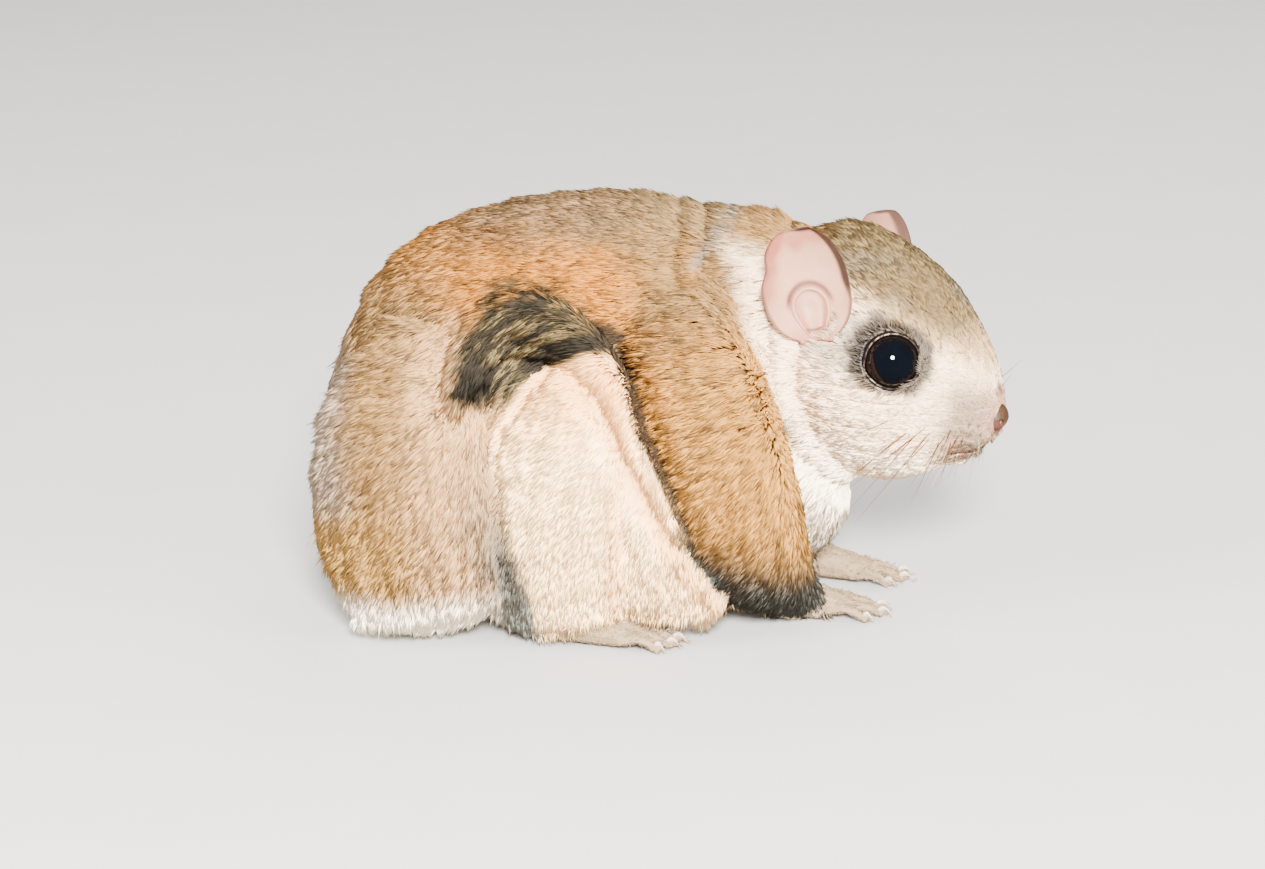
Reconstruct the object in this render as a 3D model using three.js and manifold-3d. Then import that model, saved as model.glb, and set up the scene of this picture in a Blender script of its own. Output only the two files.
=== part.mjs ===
// A flying squirrel crouching on a flat floor, life size, in millimetres. +X is the way it faces, +Y is its
// left and +Z is up. The origin is on the floor, under the flat of the belly.
import * as THREE from "three";
import { mergeVertices } from "three/addons/utils/BufferGeometryUtils.js";
import Module from "manifold-3d";

const wasm = await Module();
wasm.setup();

// Clearance kept between neighbouring parts.
const GAP = 0.35;
const RIGHT = -1;
const LEFT = 1;

// Trunk sections along X: [x, lowest, height of the widest level, highest, half width].
const TORSO = [
  [-62.3, 19, 19, 19, 0],
  [-61.2, 10, 20, 31, 9],
  [-57.5, 4, 20, 45, 17],
  [-50, 1, 21, 61, 22.5],
  [-38, -0.8, 23, 70.5, 25.5],
  [-22, -1.2, 25, 75.2, 27],
  [-6, -1.2, 27, 76.2, 26],
  [6, -0.9, 31, 74.3, 23],
  [15, 6, 36, 68, 17.5],
  [20.5, 17, 39, 57, 10],
  [23, 37, 37, 37, 0],
];
const NECK = [
  [0, 42, 42, 42, 0],
  [2, 18, 41, 66, 15],
  [9, 6, 38, 73.2, 21.5],
  [18, 6, 38, 73, 19.5],
  [26, 8, 38, 71, 16.5],
  [32, 12, 37, 64, 13],
  [36, 20, 36, 54, 7.5],
  [37.5, 37, 37, 37, 0],
];
const BODY_SQUARENESS = 2.2;

// Head sections along its own X, from the back of the skull to the nose. The eyes are at x = 0, z = 0.
const HEAD = [
  [-31, 2, 2, 2, 0],
  [-29.6, -6, 1, 9, 8],
  [-25, -14, 0, 15.5, 14],
  [-17, -21, -3, 19.3, 18],
  [-8, -24, -5, 18.2, 18.6],
  [0, -23.8, -6, 15, 16.6],
  [6, -21.2, -7, 10.8, 13.6],
  [10.5, -18.2, -8.2, 5.6, 10.4],
  [14, -14.6, -8.8, 0.6, 7.7],
  [16.2, -12.4, -8.9, -3.6, 5.4],
  [17.4, -10.9, -8.8, -6.2, 3],
  [17.9, -8.7, -8.7, -8.7, 0],
];
const HEAD_SQUARENESS = 2.15;
const HEAD_SIDES = 22;
const HEAD_PLACE = [47.2, -7.3, 48.4];
const HEAD_TURN = { roll: -7, pitch: 12, yaw: -24.5 };

const EYE_RADIUS = 5.4;
const EYE_CENTRE = [-1.2, 12.6, -0.4];
const EYE_AXIS = [0.36, 0.9, 0.16];
const LID_RADIUS = 5.0;
const LID_THICKNESS = 0.8;

const EAR_ROOT = [-14.2, 17.2, 0.4];
const EAR_HALF_WIDTH = 7.7;
const EAR_HEIGHT = 20.5;
const EAR_DEPTH = 4.4;
const EAR_WALL = 1.1;
const EAR_UP = [-0.36, 0.3, 0.9];
const EAR_FACE = [0.4, 0.9, 0.05];
// The open front of the cup, as a share of its depth, and how far the ball that hollows it stands out.
const EAR_MOUTH = 0.42;
const EAR_HOLLOW = { out: 2.1, up: 0.5, deeper: 0.9 };
const EAR_FOOT = { centre: [0, -1.2, 0.6], radii: [4.6, 2.6, 5] };
// The fold inside the foot of the ear: [along the rim, out of the cup, up, half breadth, half thickness].
const EAR_FOLD = [
  [-3.8, 0.2, 9.2, 0.9, 0.9],
  [-3.4, 1, 5, 1.1, 1.1],
  [0, 1.4, 2.2, 1.3, 1.3],
  [3.2, 1, 4.2, 1.1, 1.1],
  [3.4, 0.2, 7.4, 0.8, 0.8],
];

// The nose, its openings and the groove under it, in the head's own axes.
const NOSE = { centre: [16.2, 0, -8.2], radii: [2.5, 3.2, 2.9] };
const NOSTRIL = [
  [19, 1.1, -9.2, 0.75, 0.6],
  [17.8, 2.5, -8.8, 0.7, 0.55],
  [16, 3.5, -7.6, 0.4, 0.35],
];
const PHILTRUM = [
  [19.2, 0, -10, 0.4, 0.4],
  [18, 0, -12, 0.45, 0.45],
  [16.6, 0, -14.4, 0.4, 0.4],
];
// The fleshy pad of the upper lip on each side, and the chin.
const LIP_PAD = { centre: [12.2, 3.1, -10.9], radii: [5.3, 4.4, 4.2] };
const CHIN = { centre: [9.6, 0, -16], radii: [5.2, 4.6, 2.7] };
// The line of the mouth from one corner to the middle: [x, y, height], and the beads of the lips along it.
const MOUTH = [
  [8.4, 6.2, -16.9],
  [11.4, 5, -15.7],
  [13.8, 3, -14.7],
  [14.9, 0, -14.1],
];
const LIP = { radius: 0.8, lift: 0.7 };
const MOUTH_LINE_RADIUS = 0.5;

// Limbs: [x, distance from the middle plane, height, half breadth fore and aft, half thickness].
const FORELEG = [
  [3, 18, 58, 9.5, 4.5],
  [6.5, 21.5, 46, 13, 7.8],
  [12, 23.3, 29, 13, 8.8],
  [17, 22.3, 17.3, 10.8, 8.2],
  [22, 17, 9.6, 7.2, 6],
  [26, 12.8, 5.8, 4, 4.4],
];
const HINDLEG = [
  [-38, 17.5, 54, 9, 3.5],
  [-42, 21.5, 40, 16.5, 8.5],
  [-42, 23.5, 25, 18, 10.5],
  [-38.5, 23.5, 11.5, 18, 9.6],
];
// Hands and feet: [x, distance from the middle plane, height, half width, half thickness].
const HAND = [
  [22.5, 12.6, 5, 3.8, 4],
  [26.5, 11.2, 3.7, 3.6, 3.3],
  [31, 10.4, 2.9, 4, 2.6],
  [33.5, 10.2, 2.6, 3.8, 2.2],
];
const FINGERS = {
  count: 4,
  root: [32.8, 10.2, 2],
  spread: 6.4,
  fan: 16,
  length: 8.6,
  thickness: 1.35,
  claw: 1.5,
};
// How far each hand is set forward.
const HAND_LEAD = { [RIGHT]: 0, [LEFT]: 5.5 };
const FOOT = [
  [-25.5, 20.5, 4.2, 3.8, 3.8],
  [-17, 23.4, 3.5, 4.1, 3.4],
  [-9, 25.8, 2.9, 4.5, 2.9],
  [-4.5, 26.6, 2.6, 5.4, 2.4],
];
const TOES = {
  count: 5,
  root: [-4.5, 26.6, 2.1],
  spread: 7.8,
  fan: 12,
  length: 8,
  thickness: 1.4,
  claw: 1.6,
};
// A toe from its root outwards: [share of its length, height over the root, share of its thickness]. It ends
// on its pad, and the claw goes on: [share of the toe's length, height in toe thicknesses, share of size].
const TOE_ROWS = [
  [0, 0, 1],
  [0.35, 0.7, 0.9],
  [0.7, 0.1, 0.8],
];
const TOE_PAD = { share: 0.95, height: 0.8, thickness: 0.85 };
const CLAW_ROWS = [
  [0.98, 1.1, 0.42],
  [1.12, 1.15, 0.3],
  [1.27, 0.5, 0.12],
];
// The outer toes are shorter, and set further back, than the middle ones.
const TOE_ARCH = { shorter: 1.1, back: 2.2 };
// The room that the membrane leaves over the toes, as one more row of the foot.
const TOE_ROOM = [5, 26.6, 2.8, 7.4, 3.2];

// The gliding membrane, folded down the flank: two lobes, as limbs are, then its rolled free edge, which
// follows the torso's surface: [x, distance out from the torso, height, half breadth, half thickness].
const DRAPE_BACK = [
  [-11.5, 21.5, 50, 6, 5],
  [-12.8, 24, 42, 10, 6.2],
  [-15.5, 25.4, 32, 13.5, 6.5],
  [-16.6, 25.6, 20, 14, 6.4],
  [-15.4, 25.2, 7.6, 12.4, 5.9],
];
const DRAPE_FRONT = [
  [-6, 23, 40, 6.5, 5],
  [-3, 24, 29, 9.5, 5.6],
  [1, 24.4, 17, 11, 5.8],
  [3.6, 23.8, 7.4, 10.6, 5.6],
];
const MEMBRANE_EDGE = [
  [-34, 2.2, 46, 3.2, 3],
  [-31, 1.4, 53, 4.6, 3.2],
  [-24, 1.2, 57.6, 5.8, 3.2],
  [-15, 1.6, 55.5, 5, 3.2],
  [-7.5, 3, 48.5, 3.2, 3],
  [-3.6, 4.2, 38.5, 2.4, 2.6],
  [1, 4.6, 28.5, 2, 2.2],
  [6.5, 5.2, 18, 2, 2.2],
  [13, 5.6, 10, 2, 2],
];

// Tail: [x, y, height, half width out to the tips of its coat, half thickness of its core] along its length.
const TAIL = [
  [-44, 5, 9, 6, 5.5],
  [-51.5, 13, 7.2, 7.6, 5],
  [-55, 27, 4.4, 7.6, 4],
  [-51.5, 42, 2.7, 9.6, 3],
  [-39.5, 51.5, 2.1, 11.8, 2.6],
  [-22, 55, 1.9, 12.6, 2.4],
  [-2, 54.5, 1.8, 12, 2.3],
  [13, 52.5, 1.6, 8.6, 2],
  [21, 51, 1.5, 3.6, 1.5],
];
// Where thin walls divide it, as distances along it, and how far each side of a wall slants toward the tip.
const TAIL_PARTING = [
  { at: 33, slants: { [RIGHT]: 0, [LEFT]: 0.75 } },
  { at: 72, slants: { [RIGHT]: 0.75, [LEFT]: 0.75 } },
];
const PARTING_WALL = { length: 20, height: 60 };
const TAIL_CORE_SHARE = 0.5;
// The locks of its coat: where they begin on the inside and the outside of the bend, how many stand on each
// side, the sweep of a lock toward the tip, its half breadth and half thickness, and how far each differs.
const BRUSH = { starts: { [RIGHT]: 38, [LEFT]: 21 }, end: 103, perSide: 16, sweep: 12, breadth: 3 };
const LOCK_THICKNESS = 0.75;
const LOCK_WANDER = 0.16;
// How far a lock's root lies above the middle of the core, and the height of its tip, in the two layers.
const BRUSH_LAYERS = [
  { root: -0.4, tip: 0.4 },
  { root: 0.7, tip: 1.5 },
];
const TOP_LOCKS = { start: 26, end: 95, count: 7, sweep: 14, sideways: 3.4, lift: 0.9 };
const TIP_LOCKS = { start: 102, count: 4, reach: 0.55, heights: [0.5, 1], rise: 0.9 };

const BACK_COLOUR = { color: 0xc09a6a, roughness: 0.95, metalness: 0 };
const BELLY_COLOUR = { color: 0xe9dac4, roughness: 0.95, metalness: 0 };
const FACE_COLOUR = { color: 0xcfc6b8, roughness: 0.9, metalness: 0 };
const BARE_SKIN_COLOUR = { color: 0xd9b0a4, roughness: 0.6, metalness: 0 };
const EYE_COLOUR = { color: 0x0c0a0c, roughness: 0.05, metalness: 0 };

const Y_AXIS = new THREE.Vector3(0, 1, 0);
const Z_AXIS = new THREE.Vector3(0, 0, 1);
const vector = (values) => new THREE.Vector3(...values);
const mirrored = (values, side) => new THREE.Vector3(values[0], values[1] * side, values[2]);

/** A smooth curve through the rows: the row's numbers at u, which counts rows from 0. */
function between(rows, u) {
  const i = Math.min(Math.floor(u), rows.length - 2);
  const t = u - i;
  const row = (k) => rows[Math.max(0, Math.min(rows.length - 1, k))];
  return rows[0].map((_, j) => {
    const [a, b, c, d] = [row(i - 1)[j], row(i)[j], row(i + 1)[j], row(i + 2)[j]];
    const [square, cube] = [2 * a - 5 * b + 4 * c - d, 3 * b - a - 3 * c + d];
    return 0.5 * (2 * b + (c - a) * t + square * t ** 2 + cube * t ** 3);
  });
}

/** A solid from points and triangles, turned to face outwards. */
function solidOf(points, faces) {
  const wedge = ([a, b, c]) => points[a].dot(points[b].clone().cross(points[c]));
  const volume = faces.reduce((sum, face) => sum + wedge(face), 0);
  const facing = volume < 0 ? faces.map(([a, b, c]) => [a, c, b]) : faces;
  const vertProperties = new Float32Array(points.flatMap((p) => p.toArray()));
  const triVerts = new Uint32Array(facing.flat());
  return new wasm.Manifold(new wasm.Mesh({ numProp: 3, vertProperties, triVerts }));
}

/** A closed solid from rings of points, with a pole at each end. */
function skinned(rings, startPole, endPole) {
  const sides = rings[0].length;
  const points = [...rings.flat(), startPole, endPole];
  const [start, end] = [points.length - 2, points.length - 1];
  const last = (rings.length - 1) * sides;
  const faces = [];
  for (let i = 0; i < sides; i++) {
    const next = (i + 1) % sides;
    faces.push([start, next, i]);
    for (let a = 0; a < last; a += sides) {
      const b = a + sides;
      faces.push([a + i, a + next, b + next], [a + i, b + next, b + i]);
    }
    faces.push([end, last + i, last + next]);
  }
  return solidOf(points, faces);
}

/** A three.js geometry as a solid, placed by a matrix. */
function solidFrom(geometry, matrix = new THREE.Matrix4()) {
  const bare = geometry.clone().applyMatrix4(matrix);
  bare.deleteAttribute("normal");
  bare.deleteAttribute("uv");
  const merged = mergeVertices(bare, 1e-4);
  const place = merged.getAttribute("position");
  const pointAt = (_, i) => new THREE.Vector3().fromBufferAttribute(place, i);
  const points = Array.from({ length: place.count }, pointAt);
  const faces = [];
  for (let i = 0; i < merged.index.count; i += 3) {
    const face = [0, 1, 2].map((k) => merged.index.getX(i + k));
    if (new Set(face).size === 3) faces.push(face);
  }
  return solidOf(points, faces);
}

/** One ring of an oval whose upper and lower halves may differ; squareness 2 is an ellipse. */
function oval({ centre, across, rise, half, up, down, sides, squareness }) {
  const bulge = (value) => Math.sign(value) * Math.abs(value) ** (2 / squareness);
  return Array.from({ length: sides }, (_, i) => {
    const angle = (i / sides) * 2 * Math.PI;
    const height = Math.sin(angle) > 0 ? up : down;
    return centre
      .clone()
      .addScaledVector(across, bulge(Math.cos(angle)) * half)
      .addScaledVector(rise, bulge(Math.sin(angle)) * height);
  });
}

/** A trunk whose sections stand upright across X. */
function trunk(rows, { sides = 22, squareness = BODY_SQUARENESS, grow = 0 }) {
  const perRow = 2;
  const last = rows.length - 1;
  const rings = [];
  for (let k = 1; k < last * perRow; k++) {
    const [x, low, widest, high, halfWidth] = between(rows, k / perRow);
    const half = Math.max(halfWidth, 0) + grow;
    const [up, down] = [high - widest, widest - low].map((reach) => Math.max(reach, 0) + grow);
    const centre = new THREE.Vector3(x, 0, widest);
    rings.push(oval({ centre, across: Y_AXIS, rise: Z_AXIS, half, up, down, sides, squareness }));
  }
  const pole = (row, reach) => new THREE.Vector3(row[0] + reach, 0, row[2]);
  return skinned(rings, pole(rows[0], -grow), pole(rows[last], grow));
}

/** Half a trunk's width at a place seen from the side. */
function halfWidthAt(rows, squareness, x, z) {
  let u = 0;
  while (u < rows.length - 1.01 && between(rows, u)[0] < x) u += 0.01;
  const [, low, widest, high, half] = between(rows, u);
  const reach = z > widest ? high - widest : widest - low;
  return half * Math.max(0, 1 - Math.abs((z - widest) / reach) ** squareness) ** (1 / squareness);
}

/** A limb with round ends along a path; its thin way is across the path, nearest to the flat direction. */
function limb(rows, options) {
  const { side = 1, flat = [0, 1, 0], grow = 0, squareness = 2.1 } = options;
  const { perRow = 2, sides = 14, capRings = 2 } = options;
  const last = rows.length - 1;
  const point = (u) => mirrored(between(rows, u), side);
  const thinWay = mirrored(flat, side);
  const ringAt = (u, slide, shrink) => {
    const step = 0.02;
    const tangent = point(Math.min(u + step, last)).sub(point(Math.max(u - step, 0))).normalize();
    const across = new THREE.Vector3().crossVectors(tangent, thinWay).normalize();
    const rise = new THREE.Vector3().crossVectors(across, tangent).normalize();
    const [broad, thick] = between(rows, u).slice(3);
    const centre = point(u).addScaledVector(tangent, slide * (Math.min(broad, thick) + grow));
    const [half, up] = [(broad + grow) * shrink, (thick + grow) * shrink];
    return oval({ centre, across, rise, half, up, down: up, sides, squareness });
  };
  const capAngle = (k) => ((k + 0.5) / capRings) * (Math.PI / 2);
  const cap = (u, way, k) => ringAt(u, way * Math.sin(capAngle(k)), Math.cos(capAngle(k)));
  const rings = [];
  for (let k = capRings - 1; k >= 0; k--) rings.push(cap(0, -1, k));
  for (let k = 1; k < last * perRow; k++) rings.push(ringAt(k / perRow, 0, 1));
  for (let k = 0; k < capRings; k++) rings.push(cap(last, 1, k));
  const tip = (u, way) => ringAt(u, way, 0)[0];
  return skinned(rings, tip(0, -1), tip(last, 1));
}

const joined = (solids) => solids.reduce((whole, solid) => whole.add(solid));
const cutBy = (solid, cutters) => cutters.reduce((rest, cutter) => rest.subtract(cutter), solid);

/** The largest closed piece of a solid, which drops scraps that a cut leaves. */
function largest(solid) {
  return solid.decompose().reduce((best, piece) => (piece.volume() > best.volume() ? piece : best));
}

/** An oval ball in a frame, by its centre and radii there. */
function ball(centre, radii, { frame = new THREE.Matrix4(), across = 16, down = 10 } = {}) {
  const local = new THREE.Matrix4().makeTranslation(...centre).scale(vector(radii));
  return solidFrom(new THREE.SphereGeometry(1, across, down), frame.clone().multiply(local));
}

/** A matrix whose Z runs along one direction and whose Y is as near as it can be to another. */
function frameOf(origin, along, facing) {
  const z = along.clone().normalize();
  const x = new THREE.Vector3().crossVectors(facing, z).normalize();
  const y = new THREE.Vector3().crossVectors(z, x);
  return new THREE.Matrix4().makeBasis(x, y, z).setPosition(origin);
}

const FLOOR_SIZE = 400;
const floorCutter = solidFrom(
  new THREE.BoxGeometry(FLOOR_SIZE, FLOOR_SIZE, FLOOR_SIZE),
  new THREE.Matrix4().makeTranslation(0, 0, -FLOOR_SIZE / 2),
);

// Head

const headCutter = trunk(HEAD, { squareness: HEAD_SQUARENESS, sides: HEAD_SIDES, grow: GAP });

/** A thin round bead along the mouth, raised or lowered from its line. */
function mouthBead(radius, lift) {
  const half = MOUTH.map(([x, y, z], i) => {
    const size = radius * (0.6 + (0.4 * i) / (MOUTH.length - 1));
    return [x, y, z + lift, size, size];
  });
  const otherHalf = half.slice(0, -1).map(([x, y, ...rest]) => [x, -y, ...rest]);
  return limb([...half, ...otherHalf.reverse()], { flat: [0, 0, 1], sides: 5, capRings: 1 });
}

/** The head with its lids, nose, nostrils and parted lips, and open sockets for the eyes. */
function makeHead() {
  const lidFrame = (side) => {
    const axis = mirrored(EYE_AXIS, side).normalize();
    const opening = Math.sqrt(EYE_RADIUS ** 2 - (LID_RADIUS - LID_THICKNESS * 0.4) ** 2);
    return frameOf(mirrored(EYE_CENTRE, side).addScaledVector(axis, opening), axis, Z_AXIS);
  };
  const lids = [RIGHT, LEFT].map((side) =>
    solidFrom(new THREE.TorusGeometry(LID_RADIUS, LID_THICKNESS, 5, 16), lidFrame(side)),
  );
  const skull = trunk(HEAD, { squareness: HEAD_SQUARENESS, sides: HEAD_SIDES });
  const coarse = { across: 10, down: 8 };
  const pads = [RIGHT, LEFT].map((side) => ball(mirrored(LIP_PAD.centre, side), LIP_PAD.radii, coarse));
  const muzzle = [ball(NOSE.centre, NOSE.radii, coarse), ball(CHIN.centre, CHIN.radii, coarse), ...pads];
  const lips = [mouthBead(LIP.radius, LIP.lift), mouthBead(LIP.radius, -LIP.lift)];

  const socketRadius = EYE_RADIUS + GAP;
  const sockets = [RIGHT, LEFT].map((side) =>
    ball(mirrored(EYE_CENTRE, side), [socketRadius, socketRadius, socketRadius]),
  );
  const nostrils = [RIGHT, LEFT].map((side) => limb(NOSTRIL, { side, sides: 6, capRings: 1 }));
  const philtrum = limb(PHILTRUM, { sides: 6, perRow: 1, capRings: 1 });
  const mouthLine = mouthBead(MOUTH_LINE_RADIUS, 0);
  const openings = [...sockets, ...nostrils, philtrum, mouthLine];
  return largest(cutBy(joined([skull, ...muzzle, ...lids, ...lips]), openings));
}

const earFrame = (side) => frameOf(...[EAR_ROOT, EAR_UP, EAR_FACE].map((values) => mirrored(values, side)));
const EAR_MIDDLE = EAR_HEIGHT / 2 - 0.6;

/** The rounded outside of an ear, in the head's own axes. */
function earShell(side, grow) {
  const radii = [EAR_HALF_WIDTH, EAR_DEPTH, EAR_HEIGHT / 2 + 1].map((radius) => radius + grow);
  return ball([0, 0, EAR_MIDDLE], radii, { frame: earFrame(side), across: 14, down: 10 });
}

/** The fleshy foot of an ear, in the head's own axes. */
function earFoot(side, grow) {
  const radii = EAR_FOOT.radii.map((radius) => radius + grow);
  return ball(EAR_FOOT.centre, radii, { frame: earFrame(side), across: 8, down: 6 });
}

/** One ear in the head's own axes: an open cup with a rim, a foot and the fold inside it. */
function makeEar(side) {
  const frame = earFrame(side);
  const shell = earShell(side, 0);
  const { out, up, deeper } = EAR_HOLLOW;
  const hollowRadii = [EAR_HALF_WIDTH - EAR_WALL * 0.7, EAR_DEPTH + deeper, EAR_HEIGHT / 2 + 0.3];
  const hollow = ball([0, out, EAR_MIDDLE + up], hollowRadii, { frame, across: 14, down: 10 });
  const room = 2 * EAR_HEIGHT;
  const inFront = solidFrom(
    new THREE.BoxGeometry(room, room, 2 * room),
    frame.clone().multiply(new THREE.Matrix4().makeTranslation(0, room / 2 + EAR_DEPTH * EAR_MOUTH, 0)),
  );
  const fold = limb(
    EAR_FOLD.map(([along, out, up, ...radii]) => [along * side, out - EAR_WALL, up, ...radii]),
    { sides: 5, perRow: 2, capRings: 1 },
  ).transform(frame.toArray());
  const cup = joined([cutBy(shell, [hollow, inFront]), earFoot(side, 0), fold]);
  return largest(cup.subtract(headCutter));
}

const headMatrix = new THREE.Matrix4().makeRotationFromEuler(
  new THREE.Euler(
    ...[HEAD_TURN.roll, HEAD_TURN.pitch, HEAD_TURN.yaw].map(THREE.MathUtils.degToRad),
    "ZYX",
  ),
);
headMatrix.setPosition(...HEAD_PLACE);
const placedHeadCutter = headCutter.transform(headMatrix.toArray());
const placedEarCutters = [RIGHT, LEFT].map((side) =>
  earShell(side, GAP).add(earFoot(side, GAP)).transform(headMatrix.toArray()),
);

// Body

const torso = largest(cutBy(trunk(TORSO, {}), [placedHeadCutter, floorCutter]));
const torsoCutter = trunk(TORSO, { grow: GAP });
const neck = largest(cutBy(trunk(NECK, {}), [torsoCutter, placedHeadCutter, ...placedEarCutters]));
const bodyCutters = [torsoCutter, trunk(NECK, { grow: GAP }), placedHeadCutter, floorCutter];

const forelegCutter = (side) => limb(FORELEG, { side, grow: GAP });
const hindlegCutter = (side) => limb(HINDLEG, { side, grow: GAP });
const footBody = (side) => limb(FOOT, { side, flat: [0, 0, 1], sides: 10, capRings: 1 });
const footCutter = (side) =>
  limb([...FOOT, TOE_ROOM], { side, flat: [0, 0, 1], sides: 12, squareness: 3, grow: GAP });
const makeForeleg = (side) => largest(cutBy(limb(FORELEG, { side }), bodyCutters));
const makeHindleg = (side) => largest(cutBy(limb(HINDLEG, { side }), [...bodyCutters, footCutter(side)]));

function makeMembrane(side) {
  const edge = MEMBRANE_EDGE.map(([x, out, z, ...radii]) => {
    const y = halfWidthAt(TORSO, BODY_SQUARENESS, x, z) + out;
    return [x, y, z, ...radii];
  });
  const sheet = joined([
    limb(DRAPE_BACK, { side }),
    limb(DRAPE_FRONT, { side }),
    limb(edge, { side, sides: 8, capRings: 1 }),
  ]);
  const limbCutters = [forelegCutter(side), hindlegCutter(side), footCutter(side)];
  return largest(cutBy(sheet, [...bodyCutters, ...limbCutters]));
}

/** A row of toes with claws, spread like a fan about the middle line of a hand or foot. */
function makeToes({ side, count, root, spread, fan, length, thickness, claw }) {
  const toes = [];
  for (let i = 0; i < count; i++) {
    const place = i / (count - 1) - 0.5;
    const angle = THREE.MathUtils.degToRad(fan * place * 2);
    const reach = length * (1 - TOE_ARCH.shorter * place * place);
    const [x, y] = [root[0] - TOE_ARCH.back * Math.abs(place), root[1] + spread * place];
    const at = (share, height, radius) => {
      const along = reach * share;
      return [x + along * Math.cos(angle), y + along * Math.sin(angle), height, radius, radius];
    };
    const toe = TOE_ROWS.map(([share, height, size]) => at(share, root[2] + height, thickness * size));
    toe.push(at(TOE_PAD.share, thickness * TOE_PAD.height, thickness * TOE_PAD.thickness));
    const nail = CLAW_ROWS.map(([share, height, size]) => at(share, thickness * height, claw * size));
    toes.push(limb(toe, { side, sides: 5, perRow: 1, capRings: 1 }));
    toes.push(limb(nail, { side, sides: 4, perRow: 1, capRings: 1 }));
  }
  return toes;
}

function makeHand(side) {
  const lead = HAND_LEAD[side];
  const palm = HAND.map(([x, ...rest]) => [x + lead, ...rest]);
  const [x, y, z] = FINGERS.root;
  const fingers = makeToes({ side, ...FINGERS, root: [x + lead, y, z] });
  const whole = joined([limb(palm, { side, flat: [0, 0, 1], sides: 10, capRings: 1 }), ...fingers]);
  return largest(cutBy(whole, [forelegCutter(side), floorCutter]));
}

function makeHindfoot(side) {
  const whole = joined([footBody(side), ...makeToes({ side, ...TOES })]);
  return largest(cutBy(whole, [torsoCutter, floorCutter]));
}

// The tail's rows at even steps, with the distance along it at each.
const TAIL_STEPS = 240;
const tailTable = Array.from({ length: TAIL_STEPS + 1 }, (_, i) =>
  between(TAIL, (i / TAIL_STEPS) * (TAIL.length - 1)),
);
const tailDistances = tailTable.map(() => 0);
for (let i = 1; i <= TAIL_STEPS; i++) {
  const step = vector(tailTable[i].slice(0, 3)).distanceTo(vector(tailTable[i - 1].slice(0, 3)));
  tailDistances[i] = tailDistances[i - 1] + step;
}

/** The tail at a distance along it: a point, the way along, the way to its left and the row's sizes. */
function tailAt(distance) {
  const past = tailDistances.findIndex((reached) => reached >= distance);
  const i = past < 0 ? TAIL_STEPS : Math.max(past, 1);
  const [here, before] = [tailTable[i], tailTable[i - 1]].map((row) => vector(row.slice(0, 3)));
  const along = here.clone().sub(before).setZ(0).normalize();
  const overrun = Math.max(distance - tailDistances[TAIL_STEPS], 0);
  return {
    point: here.addScaledVector(along, overrun),
    along,
    sideways: new THREE.Vector3().crossVectors(Z_AXIS, along),
    half: tailTable[i][3],
    thickness: tailTable[i][4],
  };
}

/** A number from -1 to 1 that is always the same for the same seed. */
function drawn(seed) {
  const value = Math.sin(seed * 127.1 + 11.7) * 43758.5453;
  return (value - Math.floor(value)) * 2 - 1;
}

/** One flat, tapered lock that bends with the tail, from a root inside the core out to its tip. */
function lock({ start, sweep, rootOffset, tipOffset, rootHeight, tipHeight, breadth }) {
  const shares = [0, 0.55, 1];
  const breadths = [0.8, 1, 0.14];
  const rows = shares.map((share, i) => {
    const { point, sideways } = tailAt(start + sweep * share);
    const offset = rootOffset + (tipOffset - rootOffset) * share ** 0.8;
    const place = point.addScaledVector(sideways, offset);
    const height = rootHeight + (tipHeight - rootHeight) * share;
    return [place.x, place.y, height, breadth * breadths[i], LOCK_THICKNESS * (1 - 0.6 * share)];
  });
  return limb(rows, { flat: [0, 0, 1], sides: 4, perRow: 1, capRings: 1, squareness: 2 });
}

/** The locks along both sides of the tail, in two layers, those along its top and those at its tip. */
function makeBrush() {
  const locks = [];
  for (let i = 0; i < BRUSH.perSide; i++) {
    const layer = BRUSH_LAYERS[i % 2];
    for (const side of [RIGHT, LEFT]) {
      const vary = (n) => 1 + LOCK_WANDER * drawn(i * 7 + side * 3 + n);
      const first = BRUSH.starts[side];
      const start = first + ((BRUSH.end - first) * (i + 0.5 * vary(1))) / BRUSH.perSide;
      const sweep = BRUSH.sweep * vary(2);
      const root = tailAt(start);
      locks.push(
        lock({
          start,
          sweep,
          rootOffset: side * root.half * TAIL_CORE_SHARE * 0.6,
          tipOffset: side * tailAt(start + sweep).half * vary(3) ** 0.5,
          rootHeight: root.point.z + layer.root,
          tipHeight: layer.tip,
          breadth: BRUSH.breadth * vary(4),
        }),
      );
    }
  }
  for (let i = 0; i < TOP_LOCKS.count; i++) {
    const start = TOP_LOCKS.start + ((TOP_LOCKS.end - TOP_LOCKS.start) * i) / TOP_LOCKS.count;
    const root = tailAt(start);
    const offset = TOP_LOCKS.sideways * drawn(i + 50);
    const top = tailAt(start + TOP_LOCKS.sweep);
    locks.push(
      lock({
        start,
        sweep: TOP_LOCKS.sweep,
        rootOffset: offset * 0.4,
        tipOffset: offset,
        rootHeight: root.point.z + root.thickness * 0.4,
        tipHeight: top.point.z + top.thickness + TOP_LOCKS.lift,
        breadth: BRUSH.breadth,
      }),
    );
  }
  const end = tailDistances[TAIL_STEPS];
  for (let i = 0; i < TIP_LOCKS.count; i++) {
    const place = i / (TIP_LOCKS.count - 1) - 0.5;
    const tipHeight = TIP_LOCKS.heights[i % 2];
    locks.push(
      lock({
        start: TIP_LOCKS.start,
        sweep: end - TIP_LOCKS.start - 3 * Math.abs(place),
        rootOffset: 3 * place,
        tipOffset: tailAt(end).half * 2 * place * TIP_LOCKS.reach,
        rootHeight: tipHeight + TIP_LOCKS.rise,
        tipHeight,
        breadth: BRUSH.breadth * 0.8,
      }),
    );
  }
  return locks;
}

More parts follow.
